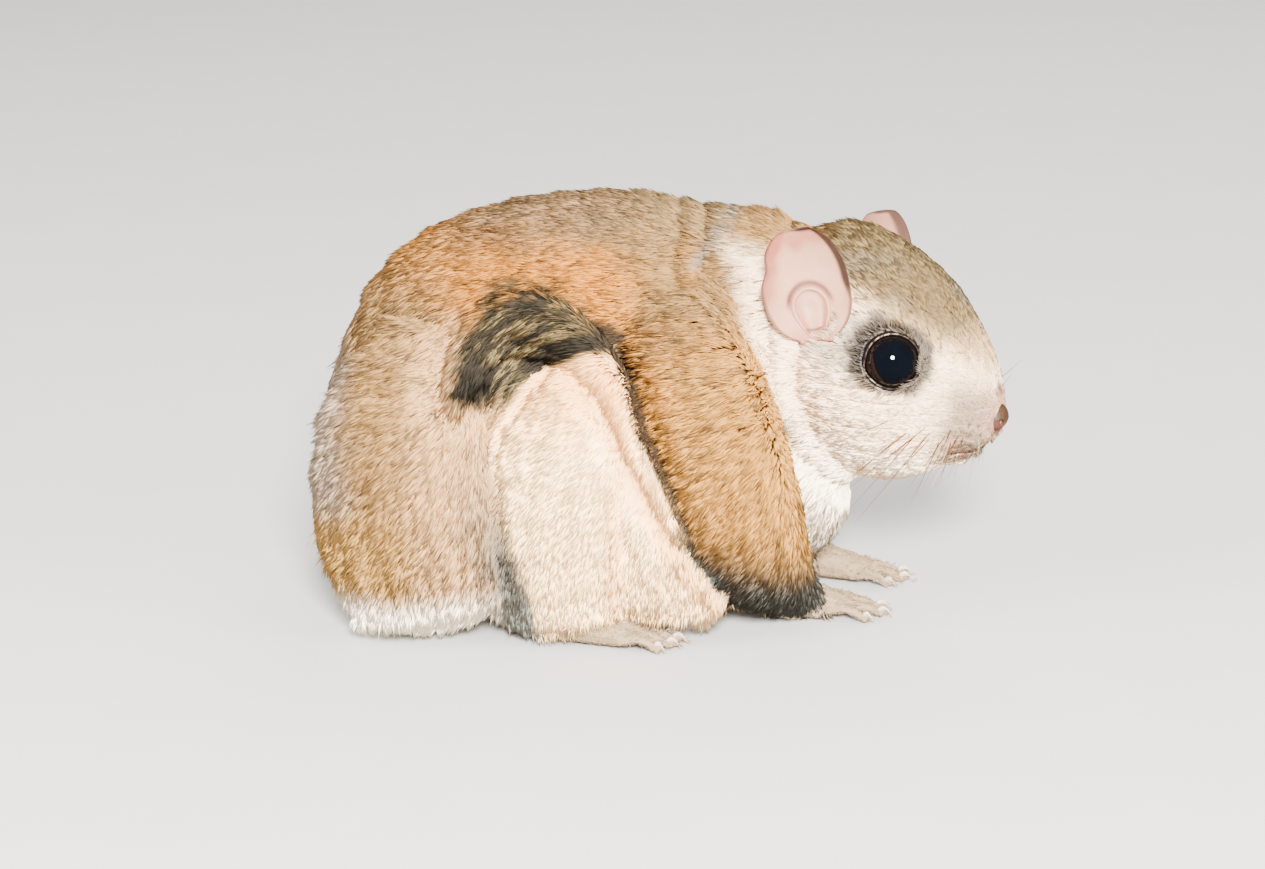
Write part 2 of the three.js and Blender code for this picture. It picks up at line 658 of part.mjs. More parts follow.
/** A thin wall across the tail, whose two sides slant toward its tip as the locks do. */
function partingWall({ at, slants }) {
  const { point, along, sideways } = tailAt(at);
  const { length, height } = PARTING_WALL;
  const wings = [RIGHT, LEFT].map((side) => {
    const out = along.clone().multiplyScalar(slants[side]).addScaledVector(sideways, side).normalize();
    const middle = point.clone().addScaledVector(out, length / 2 - GAP);
    return solidFrom(new THREE.BoxGeometry(GAP, height, length), frameOf(middle, out, Z_AXIS));
  });
  return joined(wings);
}

/** The lengths of the tail, from its root to its tip. */
function makeTail() {
  const core = TAIL.slice(0, -1).map(([x, y, z, half, thickness], i) => {
    const width = i < 2 ? half : half * TAIL_CORE_SHARE;
    return [x, y, z, width, thickness];
  });
  const whole = joined([limb(core, { flat: [0, 0, 1], sides: 10 }), ...makeBrush()]);
  const walls = TAIL_PARTING.map(partingWall);
  const pieces = cutBy(whole, [torsoCutter, hindlegCutter(LEFT), floorCutter, ...walls]).decompose();
  const lengths = pieces.sort((a, b) => b.volume() - a.volume()).slice(0, TAIL_PARTING.length + 1);
  const ends = [0, ...TAIL_PARTING.map((parting) => parting.at), tailDistances[TAIL_STEPS]];
  return ends.slice(1).map((end, i) => {
    const middle = tailAt((ends[i] + end) / 2).point;
    const distance = (piece) => {
      const { min, max } = piece.boundingBox();
      return vector(min).add(vector(max)).divideScalar(2).distanceTo(middle);
    };
    return lengths.reduce((best, piece) => (distance(piece) < distance(best) ? piece : best));
  });
}

// Scene graph

/** A named mesh of a solid. */
function part(name, solid, look) {
  const { vertProperties, triVerts, numProp, numVert } = solid.getMesh();
  const position = new Float32Array(numVert * 3);
  for (let i = 0; i < numVert; i++) {
    const from = i * numProp;
    position.set(vertProperties.subarray(from, from + 3), i * 3);
  }
  const geometry = new THREE.BufferGeometry();
  geometry.setAttribute("position", new THREE.BufferAttribute(position, 3));
  geometry.setIndex(new THREE.BufferAttribute(triVerts, 1));
  geometry.computeVertexNormals();
  const mesh = new THREE.Mesh(geometry, new THREE.MeshStandardMaterial(look));
  mesh.name = name;
  return mesh;
}

const squirrel = new THREE.Group();
squirrel.add(part("torso", torso, BACK_COLOUR), part("neck", neck, BACK_COLOUR));

const headGroup = new THREE.Group();
headGroup.applyMatrix4(headMatrix);
headGroup.add(part("head", makeHead(), FACE_COLOUR));
squirrel.add(headGroup);

for (const [word, side] of [
  ["right", RIGHT],
  ["left", LEFT],
]) {
  const eyeball = new THREE.SphereGeometry(EYE_RADIUS, 16, 10);
  const eye = new THREE.Mesh(eyeball, new THREE.MeshStandardMaterial(EYE_COLOUR));
  eye.name = `eye_${word}`;
  eye.position.copy(mirrored(EYE_CENTRE, side));
  headGroup.add(eye, part(`ear_${word}`, makeEar(side), BARE_SKIN_COLOUR));
  squirrel.add(
    part(`foreleg_${word}`, makeForeleg(side), BACK_COLOUR),
    part(`hand_${word}`, makeHand(side), BARE_SKIN_COLOUR),
    part(`hindleg_${word}`, makeHindleg(side), BACK_COLOUR),
    part(`hindfoot_${word}`, makeHindfoot(side), BARE_SKIN_COLOUR),
    part(`membrane_${word}`, makeMembrane(side), BELLY_COLOUR),
  );
}

const tailNames = ["tail_base", "tail_middle", "tail_tip"];
makeTail().forEach((length, i) => squirrel.add(part(tailNames[i], length, BACK_COLOUR)));

export default squirrel;
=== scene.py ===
"""Dresses a life-size flying squirrel: skin and coat, eyes and lids, ears, nose, claws and whiskers.

Sizes are millimetres in the frame of the solids: +X is the way the animal faces, +Y its left and +Z up.
"""
import logging
import math
from contextlib import contextmanager
from dataclasses import dataclass
from enum import Enum
from typing import Callable, Iterator, Sequence, Union

import bpy
import numpy as np
from mathutils import Matrix, Vector
from mathutils.bvhtree import BVHTree


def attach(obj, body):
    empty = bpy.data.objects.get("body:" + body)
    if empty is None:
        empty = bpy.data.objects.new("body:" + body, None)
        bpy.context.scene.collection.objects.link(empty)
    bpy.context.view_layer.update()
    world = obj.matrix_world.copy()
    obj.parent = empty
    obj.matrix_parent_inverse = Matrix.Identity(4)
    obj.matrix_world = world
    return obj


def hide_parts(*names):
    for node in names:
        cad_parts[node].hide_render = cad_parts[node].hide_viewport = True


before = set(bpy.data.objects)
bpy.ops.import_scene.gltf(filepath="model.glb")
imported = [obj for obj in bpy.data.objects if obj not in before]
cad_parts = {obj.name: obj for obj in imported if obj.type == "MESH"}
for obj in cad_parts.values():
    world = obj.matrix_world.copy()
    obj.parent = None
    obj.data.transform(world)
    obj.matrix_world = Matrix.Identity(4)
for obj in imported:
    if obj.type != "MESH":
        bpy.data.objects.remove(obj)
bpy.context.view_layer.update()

LOG = logging.getLogger("flying_squirrel")
MM = 0.001
SEED = 4505
Array = np.ndarray
Number = Union[float, "Wire"]
Share = Callable[["Region"], Array]
Place = tuple[float, float, float]
Tone = tuple[float, float, float]


class Slot(Enum):
    """The record's material slots."""

    BACK = "coat_back"
    BELLY = "coat_belly"
    FACE = "coat_face"
    BARE = "bare_skin"
    EYE = "eye"


class Side(Enum):
    """The animal's two sides, as the sign of Y."""

    RIGHT = -1
    LEFT = 1

    @property
    def word(self) -> str:
        """The side's name in a piece's name."""
        return self.name.lower()

    @property
    def mirror(self) -> Array:
        """What turns a place given for the left side into this side's."""
        return np.array([1.0, self.value, 1.0])


class Region(Enum):
    """The regions of the skin, each taken from the solids that it covers."""

    TORSO = 0
    NECK = 1
    HEAD = 2
    SLEEVE = 3
    HAUNCH = 4
    DRAPE = 5
    HAND = 6
    FOOT = 7
    TAIL = 8


# Numbers and vectors


def smooth(low: float, high: float, value: Array) -> Array:
    """Rises softly from 0 at one value to 1 at another.

    Args:
        low: where the result leaves 0.
        high: where it reaches 1; it may be the smaller of the two.
        value: the numbers to grade.

    Returns:
        The graded numbers.
    """
    share = np.clip((value - low) / (high - low), 0.0, 1.0)
    return share * share * (3.0 - 2.0 * share)


def hill(value: Array, width: float) -> Array:
    """A soft hill that is 1 where the value is 0."""
    return np.exp(-((value / width) ** 2))


def blend(first: Array, second: Array, share: Array) -> Array:
    """Mixes two rows of colours or vectors by one share a row."""
    return first + (second - first) * np.asarray(share)[..., None]


def unit(vectors: Array) -> Array:
    """The vectors at length 1."""
    return vectors / np.maximum(np.linalg.norm(vectors, axis=-1, keepdims=True), 1e-9)


def linear(red: float, green: float, blue: float) -> Array:
    """A display colour as linear light.

    Args:
        red: red from 0 to 255, as a screen shows it.
        green: green in the same way.
        blue: blue in the same way.

    Returns:
        The three linear values.
    """
    shown = np.array([red, green, blue]) / 255.0
    return np.where(shown <= 0.04045, shown / 12.92, ((shown + 0.055) / 1.055) ** 2.4)


def hashed(cells: Array, seed: int) -> Array:
    """A number from 0 to 1 for each whole-number cell, always the same.

    Args:
        cells: rows of three whole numbers.
        seed: which set of numbers.

    Returns:
        One number a row.
    """
    mixed = cells.astype(np.int64) @ np.array([73856093, 19349663, 83492791]) + seed * 2654435761
    mixed = (mixed ^ (mixed >> 13)) * 1274126177
    return ((mixed ^ (mixed >> 16)) & 0xFFFFFF) / float(0xFFFFFF)


def cloud(points: Array, size: float, seed: int) -> Array:
    """Soft noise from -1 to 1.

    Args:
        points: places in millimetres.
        size: the size of a patch.
        seed: which cloud.

    Returns:
        One number a place.
    """
    scaled = points / size
    base = np.floor(scaled)
    part = scaled - base
    part = part * part * (3.0 - 2.0 * part)
    total = np.zeros(len(points))
    for corner in np.ndindex(2, 2, 2):
        weight = np.prod(np.where(np.array(corner) == 1, part, 1.0 - part), axis=1)
        total += weight * hashed(base + np.array(corner), seed)
    return total * 2.0 - 1.0


def gap_to(line: Sequence[Sequence[float]], points: Array) -> Array:
    """How far points are from a line of straight steps.

    Args:
        line: the ends of its steps.
        points: places in the same axes.

    Returns:
        One distance a place.
    """
    rows = np.array(line, float)
    best = np.full(len(points), np.inf)
    for start, end in zip(rows[:-1], rows[1:]):
        way = end - start
        share = np.clip((points - start) @ way / (way @ way), 0.0, 1.0)
        best = np.minimum(best, np.linalg.norm(points - start - share[:, None] * way, axis=1))
    return best


def between(rows: Sequence[Sequence[float]], place: float) -> Array:
    """A smooth curve through rows of sizes.

    Args:
        rows: the rows.
        place: where on the curve, counted in rows from 0.

    Returns:
        The sizes there.
    """
    table = np.array(rows, float)
    first = min(int(place), len(table) - 2)
    share = place - first
    a, b, c, d = (table[min(max(first + k, 0), len(table) - 1)] for k in (-1, 0, 1, 2))
    square, cube = 2 * a - 5 * b + 4 * c - d, 3 * b - a - 3 * c + d
    return 0.5 * (2 * b + (c - a) * share + square * share**2 + cube * share**3)


@dataclass(frozen=True)
class HeadPose:
    """Where the head is and how it is turned; its own origin is between the eyes."""

    place: Place = (47.2, -7.3, 48.4)
    roll: float = -7.0
    pitch: float = 12.0
    yaw: float = -24.5

    @property
    def turn(self) -> Array:
        """The head's turn.

        Returns:
            A 3 x 3 matrix.
        """
        angles = ((self.yaw, "Z"), (self.pitch, "Y"), (self.roll, "X"))
        yaw, pitch, roll = (Matrix.Rotation(math.radians(angle), 3, axis) for angle, axis in angles)
        return np.array(yaw @ pitch @ roll)

    def own(self, points: Array) -> Array:
        """Places in the head's own axes."""
        return (points - np.array(self.place)) @ self.turn

    def placed(self, points: Array) -> Array:
        """Places in the head's own axes, as places on the animal."""
        return np.asarray(points, float) @ self.turn.T + np.array(self.place)

    def aimed(self, directions: Array) -> Array:
        """Directions in the head's own axes, as directions on the animal."""
        return np.asarray(directions, float) @ self.turn.T


HEAD = HeadPose()


@dataclass(frozen=True)
class EyePlace:
    """The eyeball in the head's own axes, for the animal's left side."""

    radius: float = 5.4
    centre: Place = (-1.2, 12.6, -0.4)
    axis: Place = (0.36, 0.9, 0.16)

    def middle(self, side: Side) -> Array:
        """The centre of one eyeball, in the head's own axes."""
        return np.array(self.centre) * side.mirror

    def outward(self, side: Side) -> Array:
        """The way one eye looks, in the head's own axes."""
        return unit(np.array(self.axis) * side.mirror)


EYE = EyePlace()


@dataclass(frozen=True)
class EarPlace:
    """The ear in the head's own axes, for the animal's left side."""

    root: Place = (-14.2, 17.2, 0.4)
    half_width: float = 7.7
    height: float = 20.5
    up: Place = (-0.36, 0.3, 0.9)
    face: Place = (0.4, 0.9, 0.05)
    bare_foot: Place = (0.9, 0.0, -1.6)

    def foot(self, side: Side) -> Array:
        """The middle of the ear's foot."""
        return np.array(self.root) * side.mirror

    def axes(self, side: Side) -> tuple[Array, Array, Array]:
        """The ear's own ways.

        Args:
            side: which ear.

        Returns:
            The ways across, out of the cup and up.
        """
        up = unit(np.array(self.up) * side.mirror)
        across = unit(np.cross(np.array(self.face) * side.mirror, up))
        return across, np.cross(up, across), up

    def covers(self, own: Array, side: Side) -> Array:
        """How much each place lies in the ear's cup, where no coat grows.

        Args:
            own: places in the head's own axes.
            side: which ear.

        Returns:
            From 0 outside the cup to 1 inside it.
        """
        across, out, up = ((own - self.foot(side)) @ way for way in self.axes(side))
        middle = 0.5 * self.height
        reach = np.hypot(across / (self.half_width - 0.8), (up - middle) / (middle - 1.2))
        return smooth(1.05, 0.92, reach) * smooth(-6.0, -4.5, out) * smooth(7, 4, out)


    def foot_covers(self, own: Array, side: Side) -> Array:
        """The same for the bare patch before and below the ear's foot."""
        return self.covers(own - np.array(self.bare_foot), side)


EAR = EarPlace()


@dataclass(frozen=True)
class Muzzle:
    """The front of the face in the head's own axes: nose pad, mouth line, lips and their groove."""

    pad: Place = (16.3, 0.0, -6.7)
    pad_radii: Place = (2.3, 2.9, 2.6)
    mouth: tuple[Place, ...] = (
        (7.2, 6.9, -16.8), (8.4, 6.2, -16.5), (11.4, 5.0, -14.6), (13.8, 3.0, -13.2), (15.0, 0.0, -12.5),
    )
    groove: tuple[Place, ...] = ((18.4, 0.0, -8.6), (17.0, 0.0, -10.6), (15.4, 0.0, -12.5))
    lift: float = 1.6
    slit: float = 0.6
    slit_width: float = 0.34
    lip: float = 0.35
    lip_place: float = 1.0
    lip_width: float = 0.55
    groove_depth: float = 0.4
    groove_width: float = 0.36

    def mouth_gap(self, own: Array) -> Array:
        """How far places are from the mouth line."""
        return gap_to(self.mouth, own * np.where(own[:, 1:2] < 0, Side.RIGHT.mirror, Side.LEFT.mirror))

    def on_pad(self, own: Array) -> Array:
        """How far out places are from the middle of the nose pad, with 1 at its surface."""
        return np.linalg.norm((own - np.array(self.pad)) / np.array(self.pad_radii), axis=1)

    def shaped(self, points: Array, normals: Array) -> Array:
        """Lifts the muzzle, cuts the mouth line and the groove, and swells the lips.

        Args:
            points: places on the animal.
            normals: the surface's normals there.

        Returns:
            The new places.
        """
        own = HEAD.own(points)
        own[:, 2] += self.lift * smooth(5, 15, own[:, 0]) * smooth(-26, -18, own[:, 2])
        gap = self.mouth_gap(own)
        push = self.lip * hill(gap - self.lip_place, self.lip_width) - self.slit * hill(gap, self.slit_width)
        push -= self.groove_depth * hill(gap_to(self.groove, own), self.groove_width)
        push *= smooth(5.5, 8, own[:, 0])
        return HEAD.placed(own) + normals * push[:, None]


MUZZLE = Muzzle()


@dataclass(frozen=True)
class FlankLine:
    """A line drawn on the flank, as seen square from the side: places (x, z)."""

    places: tuple[tuple[float, float], ...]

    def measure(self, points: Array) -> tuple[Array, Array]:
        """How far places are from the line.

        Args:
            points: places on the animal.

        Returns:
            The distance, above 0 to the left of the line's way, and the share of the way along it.
        """
        flat = points[:, [0, 2]]
        line = np.array(self.places)
        best = np.full(len(points), 1e9)
        signed, along = np.zeros(len(points)), np.zeros(len(points))
        for i, (start, end) in enumerate(zip(line[:-1], line[1:])):
            way = end - start
            share = np.clip((flat - start) @ way / (way @ way), 0.0, 1.0)
            gap = flat - (start + share[:, None] * way)
            distance = np.linalg.norm(gap, axis=1)
            nearer = distance < best
            best = np.where(nearer, distance, best)
            turn = np.sign(way[0] * gap[:, 1] - way[1] * gap[:, 0])
            signed = np.where(nearer, distance * turn, signed)
            along = np.where(nearer, (i + share) / (len(line) - 1), along)
        return signed, along


FOLD_EDGE = FlankLine(
    (
        (-27, 40), (-23.5, 46.3), (-20.8, 49), (-15.2, 52.2), (-11.3, 53.9), (-8.1, 53.1), (-5.8, 49),
        (-4.6, 43.7), (-3.4, 38.7), (-1, 33.8), (1.8, 27.5), (5.5, 19.1), (8.4, 14.4), (13, 9),
    )
)
ARCH_TOP = FlankLine(
    (
        (-36, 44), (-35, 50.8), (-31.8, 57.3), (-29, 61.8),
        (-23.1, 63), (-16.8, 61.8), (-11.3, 57.4), (-6.5, 52.5),
    )
)
HAUNCH_FRONT = FlankLine(((-29.8, 43.7), (-27.8, 33.5), (-25.7, 23.6), (-20.8, 8.2), (-19.6, 0)))
NAPE_CREASE = FlankLine(((15.7, 73.4), (11.2, 69.5), (6.5, 65.2)))
CHEEK_CREASE = FlankLine(((20.6, 39.8), (28.8, 33.1), (34.1, 30.9)))
FACE_BORDER = FlankLine(
    ((12.5, 64), (13.2, 58), (14.6, 49), (18.3, 40.7), (25.4, 33.4), (31, 27), (34, 17))
)
# the hollow at the rear end of the arch, painted dark: dark hair with painted shade in the hollow
PIT = np.array([-31.4, 0.0, 47.3])


# Pelt: what is known at each place of the skin


@dataclass
class Pelt:
    """A surface that can carry a coat: its triangles and what is known at each of its vertices."""

    points: Array
    normals: Array
    triangles: Array
    unwrap: Array
    weights: Array
    lie: Array

    def share(self, region: Region) -> Array:
        """How much each vertex belongs to a region."""
        return self.weights[:, region.value]


@dataclass(frozen=True)
class Markings:
    """The colours of the coat, by formula from the place on the animal."""

    ochre: Tone = (184, 117, 40)
    ochre_deep: Tone = (132, 80, 26)
    sleeve: Tone = (150, 108, 52)
    # grey-brown of the back's top, darkened with painted shade
    back_grey_shade: Tone = (90, 80, 62)
    shoulder: Tone = (110, 88, 56)
    rump: Tone = (116, 94, 62)
    haunch: Tone = (174, 133, 89)
    rust: Tone = (158, 118, 62)
    cream: Tone = (250, 234, 206)
    drape: Tone = (255, 214, 156)
    # painted shade of the membrane under the fold
    drape_shade: Tone = (225, 162, 98)
    lilac: Tone = (150, 134, 118)
    pink: Tone = (176, 124, 104)
    chest: Tone = (255, 230, 200)
    slate: Tone = (46, 56, 56)
    dark: Tone = (34, 30, 24)
    straw: Tone = (92, 82, 55)
    cheek: Tone = (230, 200, 164)
    crown: Tone = (82, 67, 41)
    brow: Tone = (173, 141, 100)
    grey: Tone = (95, 95, 89)
    ring: Tone = (40, 38, 40)
    muzzle: Tone = (100, 80, 66)
    lip: Tone = (66, 42, 28)
    hand: Tone = (136, 114, 88)
    tail: Tone = (99, 76, 50)
    tail_pale: Tone = (139, 111, 79)

    def tone(self, name: str) -> Array:
        """One of the named colours as linear light."""
        return linear(*getattr(self, name))

    def over(self, colour: Array, name: str, share: Array) -> Array:
        """Lays one of the named colours over others."""
        return blend(colour, self.tone(name), np.clip(share, 0.0, 1.0))

    def body(self, points: Array, pelt_share: Share) -> Array:
        """The colours of the trunk and the legs.

        Args:
            points: places on the animal.
            pelt_share: how much each place belongs to a region.

        Returns:
            One linear colour a place.
        """
        x, _, z = points.T
        soft, fine = cloud(points, 9.0, 1), cloud(points, 2.6, 2)
        haunch, sleeve = pelt_share(Region.HAUNCH), pelt_share(Region.SLEEVE)
        haunch = np.maximum(haunch, smooth(-10, -18, x)) * smooth(59, 48, z + 4.0 * soft + 1.5 * fine)
        colour = np.repeat(self.tone("ochre")[None], len(points), axis=0)
        colour = self.over(colour, "ochre_deep", 0.4 * smooth(-0.2, 0.8, soft) + 0.55 * smooth(48, 60, z))
        colour = self.over(colour, "sleeve", 0.8 * smooth(-6, 6, x + fine) * smooth(60, 46, z))
        # The top of the back is grey-brown, its own coat colour darkened further as painted shade where the
        # back faces away from the light.
        colour = self.over(colour, "back_grey_shade", 0.75 * smooth(64, 72.5, z + 2.0 * fine) * smooth(16, 4, x))
        shoulder = smooth(-12, 1, x + 6 * soft + 2 * fine) * smooth(46, 62, z + 4 * soft + 2 * fine)
        warm_stripe = smooth(2.2, 0.8, np.abs(x - 5.5)) * smooth(60, 65, z)
        colour = self.over(colour, "shoulder", 0.8 * shoulder * (1 - 0.4 * warm_stripe))
        # Painted shade: a grey line along the crease at the nape.
        nape = np.abs(NAPE_CREASE.measure(points)[0])
        colour = self.over(colour, "grey", 0.6 * smooth(1.6, 0.4, nape + 0.5 * fine))
        rear = smooth(-30, -43, x + 3.0 * soft + 1.5 * fine) * smooth(70, 56, z + 3 * soft)
        colour = self.over(colour, "rump", 0.8 * rear)
        colour = self.over(colour, "lilac", 0.7 * smooth(-51, -57, x + 2.0 * soft + fine) * smooth(16, 30, z))
        colour = self.over(colour, "haunch", haunch * smooth(-47, -38, x + 2 * fine))
        rust = smooth(-38, -48, x + 2 * soft) * smooth(27, 21, z + soft) * smooth(6, 12, z)
        colour = self.over(colour, "rust", 0.85 * rust)
        colour = self.over(colour, "cream", smooth(12, 6.5, z + 1.2 * soft + 0.8 * fine) * (1 - sleeve))
        # Painted shade with dark hair: slate and grey along the crease at the haunch's front edge, stronger
        # lower down.
        front, _ = HAUNCH_FRONT.measure(points)
        inner = haunch * smooth(11, 3, np.abs(front) + 1.5 * fine)
        shaded = smooth(30, 14, z + 2 * soft) * smooth(-0.5, 1.0, -front)
        colour = self.over(colour, "slate", 0.85 * inner * shaded)
        return self.over(colour, "grey", 0.35 * inner * smooth(40, 24, z))

    def folds(self, points: Array, colour: Array, pelt_share: Share) -> Array:
        """Adds the folded membrane with painted shade near the fold, its dark edge of dark hair and painted
        shadow, the arch over it and the border of the sleeve.

        Args:
            points: places on the animal.
            colour: the colours so far.
            pelt_share: how much each place belongs to a region.

        Returns:
            The new colours.
        """
        x, y, z = points.T
        soft, fine = cloud(points, 8.0, 3), cloud(points, 1.6, 4)
        outside = smooth(12, 18, np.abs(y))
        edge, along = FOLD_EDGE.measure(points)
        front, _ = HAUNCH_FRONT.measure(points)
        under = smooth(0.3, -0.6, edge + 0.25 * fine) * outside
        drape = under * smooth(-1.5, 1.0, front + 0.6 * fine) * (1 - pelt_share(Region.SLEEVE))
        colour = self.over(colour, "drape", drape)
        # Painted shade on the membrane: warmer and darker at its top under the arch, in a narrow valley lower
        # down and along the fold's edge.
        colour = self.over(colour, "drape_shade", 0.75 * drape * smooth(34, 46, z + 2 * soft))
        valley_shade = smooth(2.4, 0.4, np.abs(x + 7.4) + 0.5 * fine) * smooth(38, 28, z)
        colour = self.over(colour, "drape_shade", 0.55 * drape * valley_shade)
        edge_shade = smooth(-6, -3.2, edge) * smooth(-0.6, -1.4, edge)
        colour = self.over(colour, "drape_shade", 0.7 * drape * edge_shade * smooth(0.3, 0.5, along))
        colour = self.over(colour, "slate", 0.35 * drape * smooth(7.5, 3.5, z + 1.5 * soft))
        top, _ = ARCH_TOP.measure(points)
        arch = smooth(1.0, -1.5, top + 1.6 * fine) * smooth(-1.0, 0.3, edge) * outside
        arch = arch * smooth(-7, -9, x) * smooth(-37, -34, x) * smooth(41, 46, z)
        colour = self.over(colour, "straw", 0.9 * arch)
        stretched = lambda pull: np.stack([edge, along * pull, 0 * x], axis=1)
        streak = 0.6 * cloud(stretched(16.0), 0.42, 9) + 0.5 * cloud(stretched(20.0), 0.8, 12)
        wide = cloud(stretched(16.0), 2.4, 10)
        band = 0.5 * smooth(1.5, 0.2, np.abs(edge - 5.9 + wide)) + 0.45 * smooth(8.0, 9.2, edge + wide)
        colour = self.over(colour, "dark", 0.95 * arch * smooth(-0.12, 0.12, streak + band - 0.12))
        # The dark line along the fold's edge is dark hair with painted shadow under the sleeve's overhang,
        # wide at the top and thinner lower down.
        width = 3.9 - 1.6 * smooth(0.62, 0.95, along)
        line = smooth(-0.3, 0.1, edge) * smooth(width, 0.7 * width, edge + 0.6 * fine)
        line = line * smooth(0.06, 0.14, along) * smooth(1.0, 0.95, along) * outside
        colour = self.over(colour, "dark", 0.96 * line)
        low = pelt_share(Region.SLEEVE) * smooth(23, 12, z + 0.3 * (x - 14) + 1.4 * soft)
        colour = self.over(colour, "slate", 0.92 * low)
        # Painted shade with dark hair in the hollow at the rear end of the arch.
        pit = np.linalg.norm((points - PIT)[:, [0, 2]] * np.array([1, 0.8]), axis=1)
        colour = self.over(colour, "dark", smooth(4.6, 2.4, pit + 0.8 * fine) * outside)
        chest = smooth(20, 26, x + fine) * smooth(38, 31, z + fine) * (1 - pelt_share(Region.SLEEVE))
        colour = self.over(colour, "chest", chest)
        # Painted shade: a grey line along the crease between the cheek and the neck.
        crease = smooth(1.7, 0.5, np.abs(CHEEK_CREASE.measure(points)[0]) + 0.5 * fine) * outside
        return self.over(colour, "grey", 0.8 * crease * (1 - pelt_share(Region.SLEEVE)))

    def head(self, points: Array) -> Array:
        """The colours of the head.

        Args:
            points: places on the animal.

        Returns:
            One linear colour a place.
        """
        own = HEAD.own(points)
        x, y, z = own.T
        soft, fine = cloud(points, 6.0, 5), cloud(points, 1.3, 6)
        colour = np.repeat(self.tone("cheek")[None], len(points), axis=0)
        crown = smooth(5.0, 10.0, z + 0.25 * x + 1.0 * fine) * smooth(13, 6, x + fine)
        colour = self.over(colour, "brow", smooth(3.5, 7.5, z + 0.3 * x + fine))
        colour = self.over(colour, "crown", 0.85 * crown)
        colour = self.over(colour, "grey", 0.3 * crown * smooth(0.0, 0.9, soft))
        for side in Side:
            offset = own - EYE.middle(side)
            near = smooth(0, 3, y * side.value)
            behind = np.linalg.norm((offset + np.array([8.0, 0, -1.0]))[:, [0, 2]] * (0.8, 1), axis=1)
            colour = self.over(colour, "grey", 0.55 * smooth(7.5, 3.0, behind + 1.5 * fine) * near)
            reach = EYE.outward(side)
            around = np.linalg.norm(offset - (offset @ reach)[:, None] * reach, axis=1)
            ahead, above = offset[:, 0], offset[:, 2]
            wider = 1.8 * smooth(0, -5, ahead) + 0.7 * smooth(0, 4, above) + 0.9 * smooth(2.5, 5.5, ahead)
            ring = smooth(2.0, 0.2, around - 5.0 - wider + 0.8 * fine) * near
            colour = self.over(colour, "ring", 0.88 * ring)
            colour = self.over(colour, "pink", 0.8 * EAR.foot_covers(own, side))
        colour = self.over(colour, "muzzle", 0.8 * smooth(6.5, 12.5, x + fine) * smooth(2, -5, z))
        bridge = np.linalg.norm(own - np.array([15.6, 0, -2.6]), axis=1)
        colour = self.over(colour, "lip", 0.9 * smooth(2.6, 1.0, bridge + 0.9 * fine))
        colour = self.over(colour, "pink", 0.5 * smooth(2.4, 1.2, MUZZLE.on_pad(own) + 0.3 * fine))
        dots = smooth(0.6, 0.75, cloud(own, 0.8, 77)) * smooth(5, 8, x)
        dots = dots * smooth(-4, -6, z) * smooth(-14, -11, z)
        colour = self.over(colour, "lip", 0.7 * dots)
        colour = self.over(colour, "chest", smooth(-14, -19, z + fine))
        stain = smooth(2.5, 0.7, MUZZLE.mouth_gap(own) + 1.4 * fine) * smooth(7, 11, x)
        below = smooth(1.75, 1.15, MUZZLE.on_pad(own) + 0.25 * fine) * smooth(-6.5, -9, z)
        return self.over(colour, "lip", np.maximum(0.9 * stain, 0.8 * below))

    def colours(self, points: Array, pelt_share: Share) -> Array:
        """The colours of the whole animal.

        Args:
            points: places on the animal.
            pelt_share: how much each place belongs to a region.

        Returns:
            One linear colour a place.
        """
        colour = self.folds(points, self.body(points, pelt_share), pelt_share)
        fine = cloud(points, 2.0, 7)
        own = HEAD.own(points)
        ahead = smooth(-0.3, 3.2, FACE_BORDER.measure(points)[0] + 1.2 * fine)
        nape = smooth(-17, -23, own[:, 0]) * smooth(8, 13, own[:, 2])
        face = ahead * (pelt_share(Region.HEAD) + pelt_share(Region.NECK)) * (1 - nape)
        colour = blend(colour, self.head(points), np.clip(face, 0, 1))
        colour = self.over(colour, "hand", pelt_share(Region.HAND) + pelt_share(Region.FOOT))
        tail = np.repeat(self.tone("tail")[None], len(points), axis=0)
        tail = self.over(tail, "tail_pale", smooth(3.0, 1.0, points[:, 2]))
        return blend(colour, tail, smooth(0.3, 0.8, pelt_share(Region.TAIL)) * smooth(8, 20, points[:, 1]))

    def flecks(self, points: Array, pelt_share: Share) -> Array:
        """How likely a tuft is to end in a dark tip.

        Args:
            points: places on the animal.
            pelt_share: how much each place belongs to a region.

        Returns:
            A chance from 0 to 1 a place.
        """
        x, y, z = points.T
        outside = smooth(12, 18, np.abs(y))
        patch = smooth(0.1, 0.6, cloud(points * np.array([0.6, 1, 1.6]), 1.1, 8))
        edge, _ = FOLD_EDGE.measure(points)
        top, _ = ARCH_TOP.measure(points)
        front, _ = HAUNCH_FRONT.measure(points)
        pit = np.linalg.norm((points - PIT)[:, [0, 2]], axis=1)
        chance = 0.05 + patch * (0.4 * smooth(24, 54, z + 0.3 * x) + 0.34 * pelt_share(Region.SLEEVE))
        chance = chance + 0.35 * patch * smooth(24, 10, pit) * outside
        arch = smooth(1.5, -1.0, top) * smooth(-1.0, 0.5, edge)
        arch = arch * smooth(-6, -9, x) * smooth(-38, -35, x)
        chance = chance + 0.2 * arch * outside * smooth(40, 46, z)
        face = smooth(0, 4, FACE_BORDER.measure(points)[0])
        face = face * (pelt_share(Region.HEAD) + pelt_share(Region.NECK))
        chance = chance * (1 - 0.8 * np.clip(face, 0, 1))
        no_sleeve = 1 - pelt_share(Region.SLEEVE)
        pale = smooth(0.3, -0.6, edge) * smooth(-1.5, 1.0, front) * outside
        chance = chance * (1 - np.clip((pale + smooth(11, 6, z)) * no_sleeve, 0, 0.97))
        chance = chance * (1 - pelt_share(Region.HAND)) * (1 - pelt_share(Region.FOOT))
        return chance + 0.3 * pelt_share(Region.TAIL)


MARKINGS = Markings()


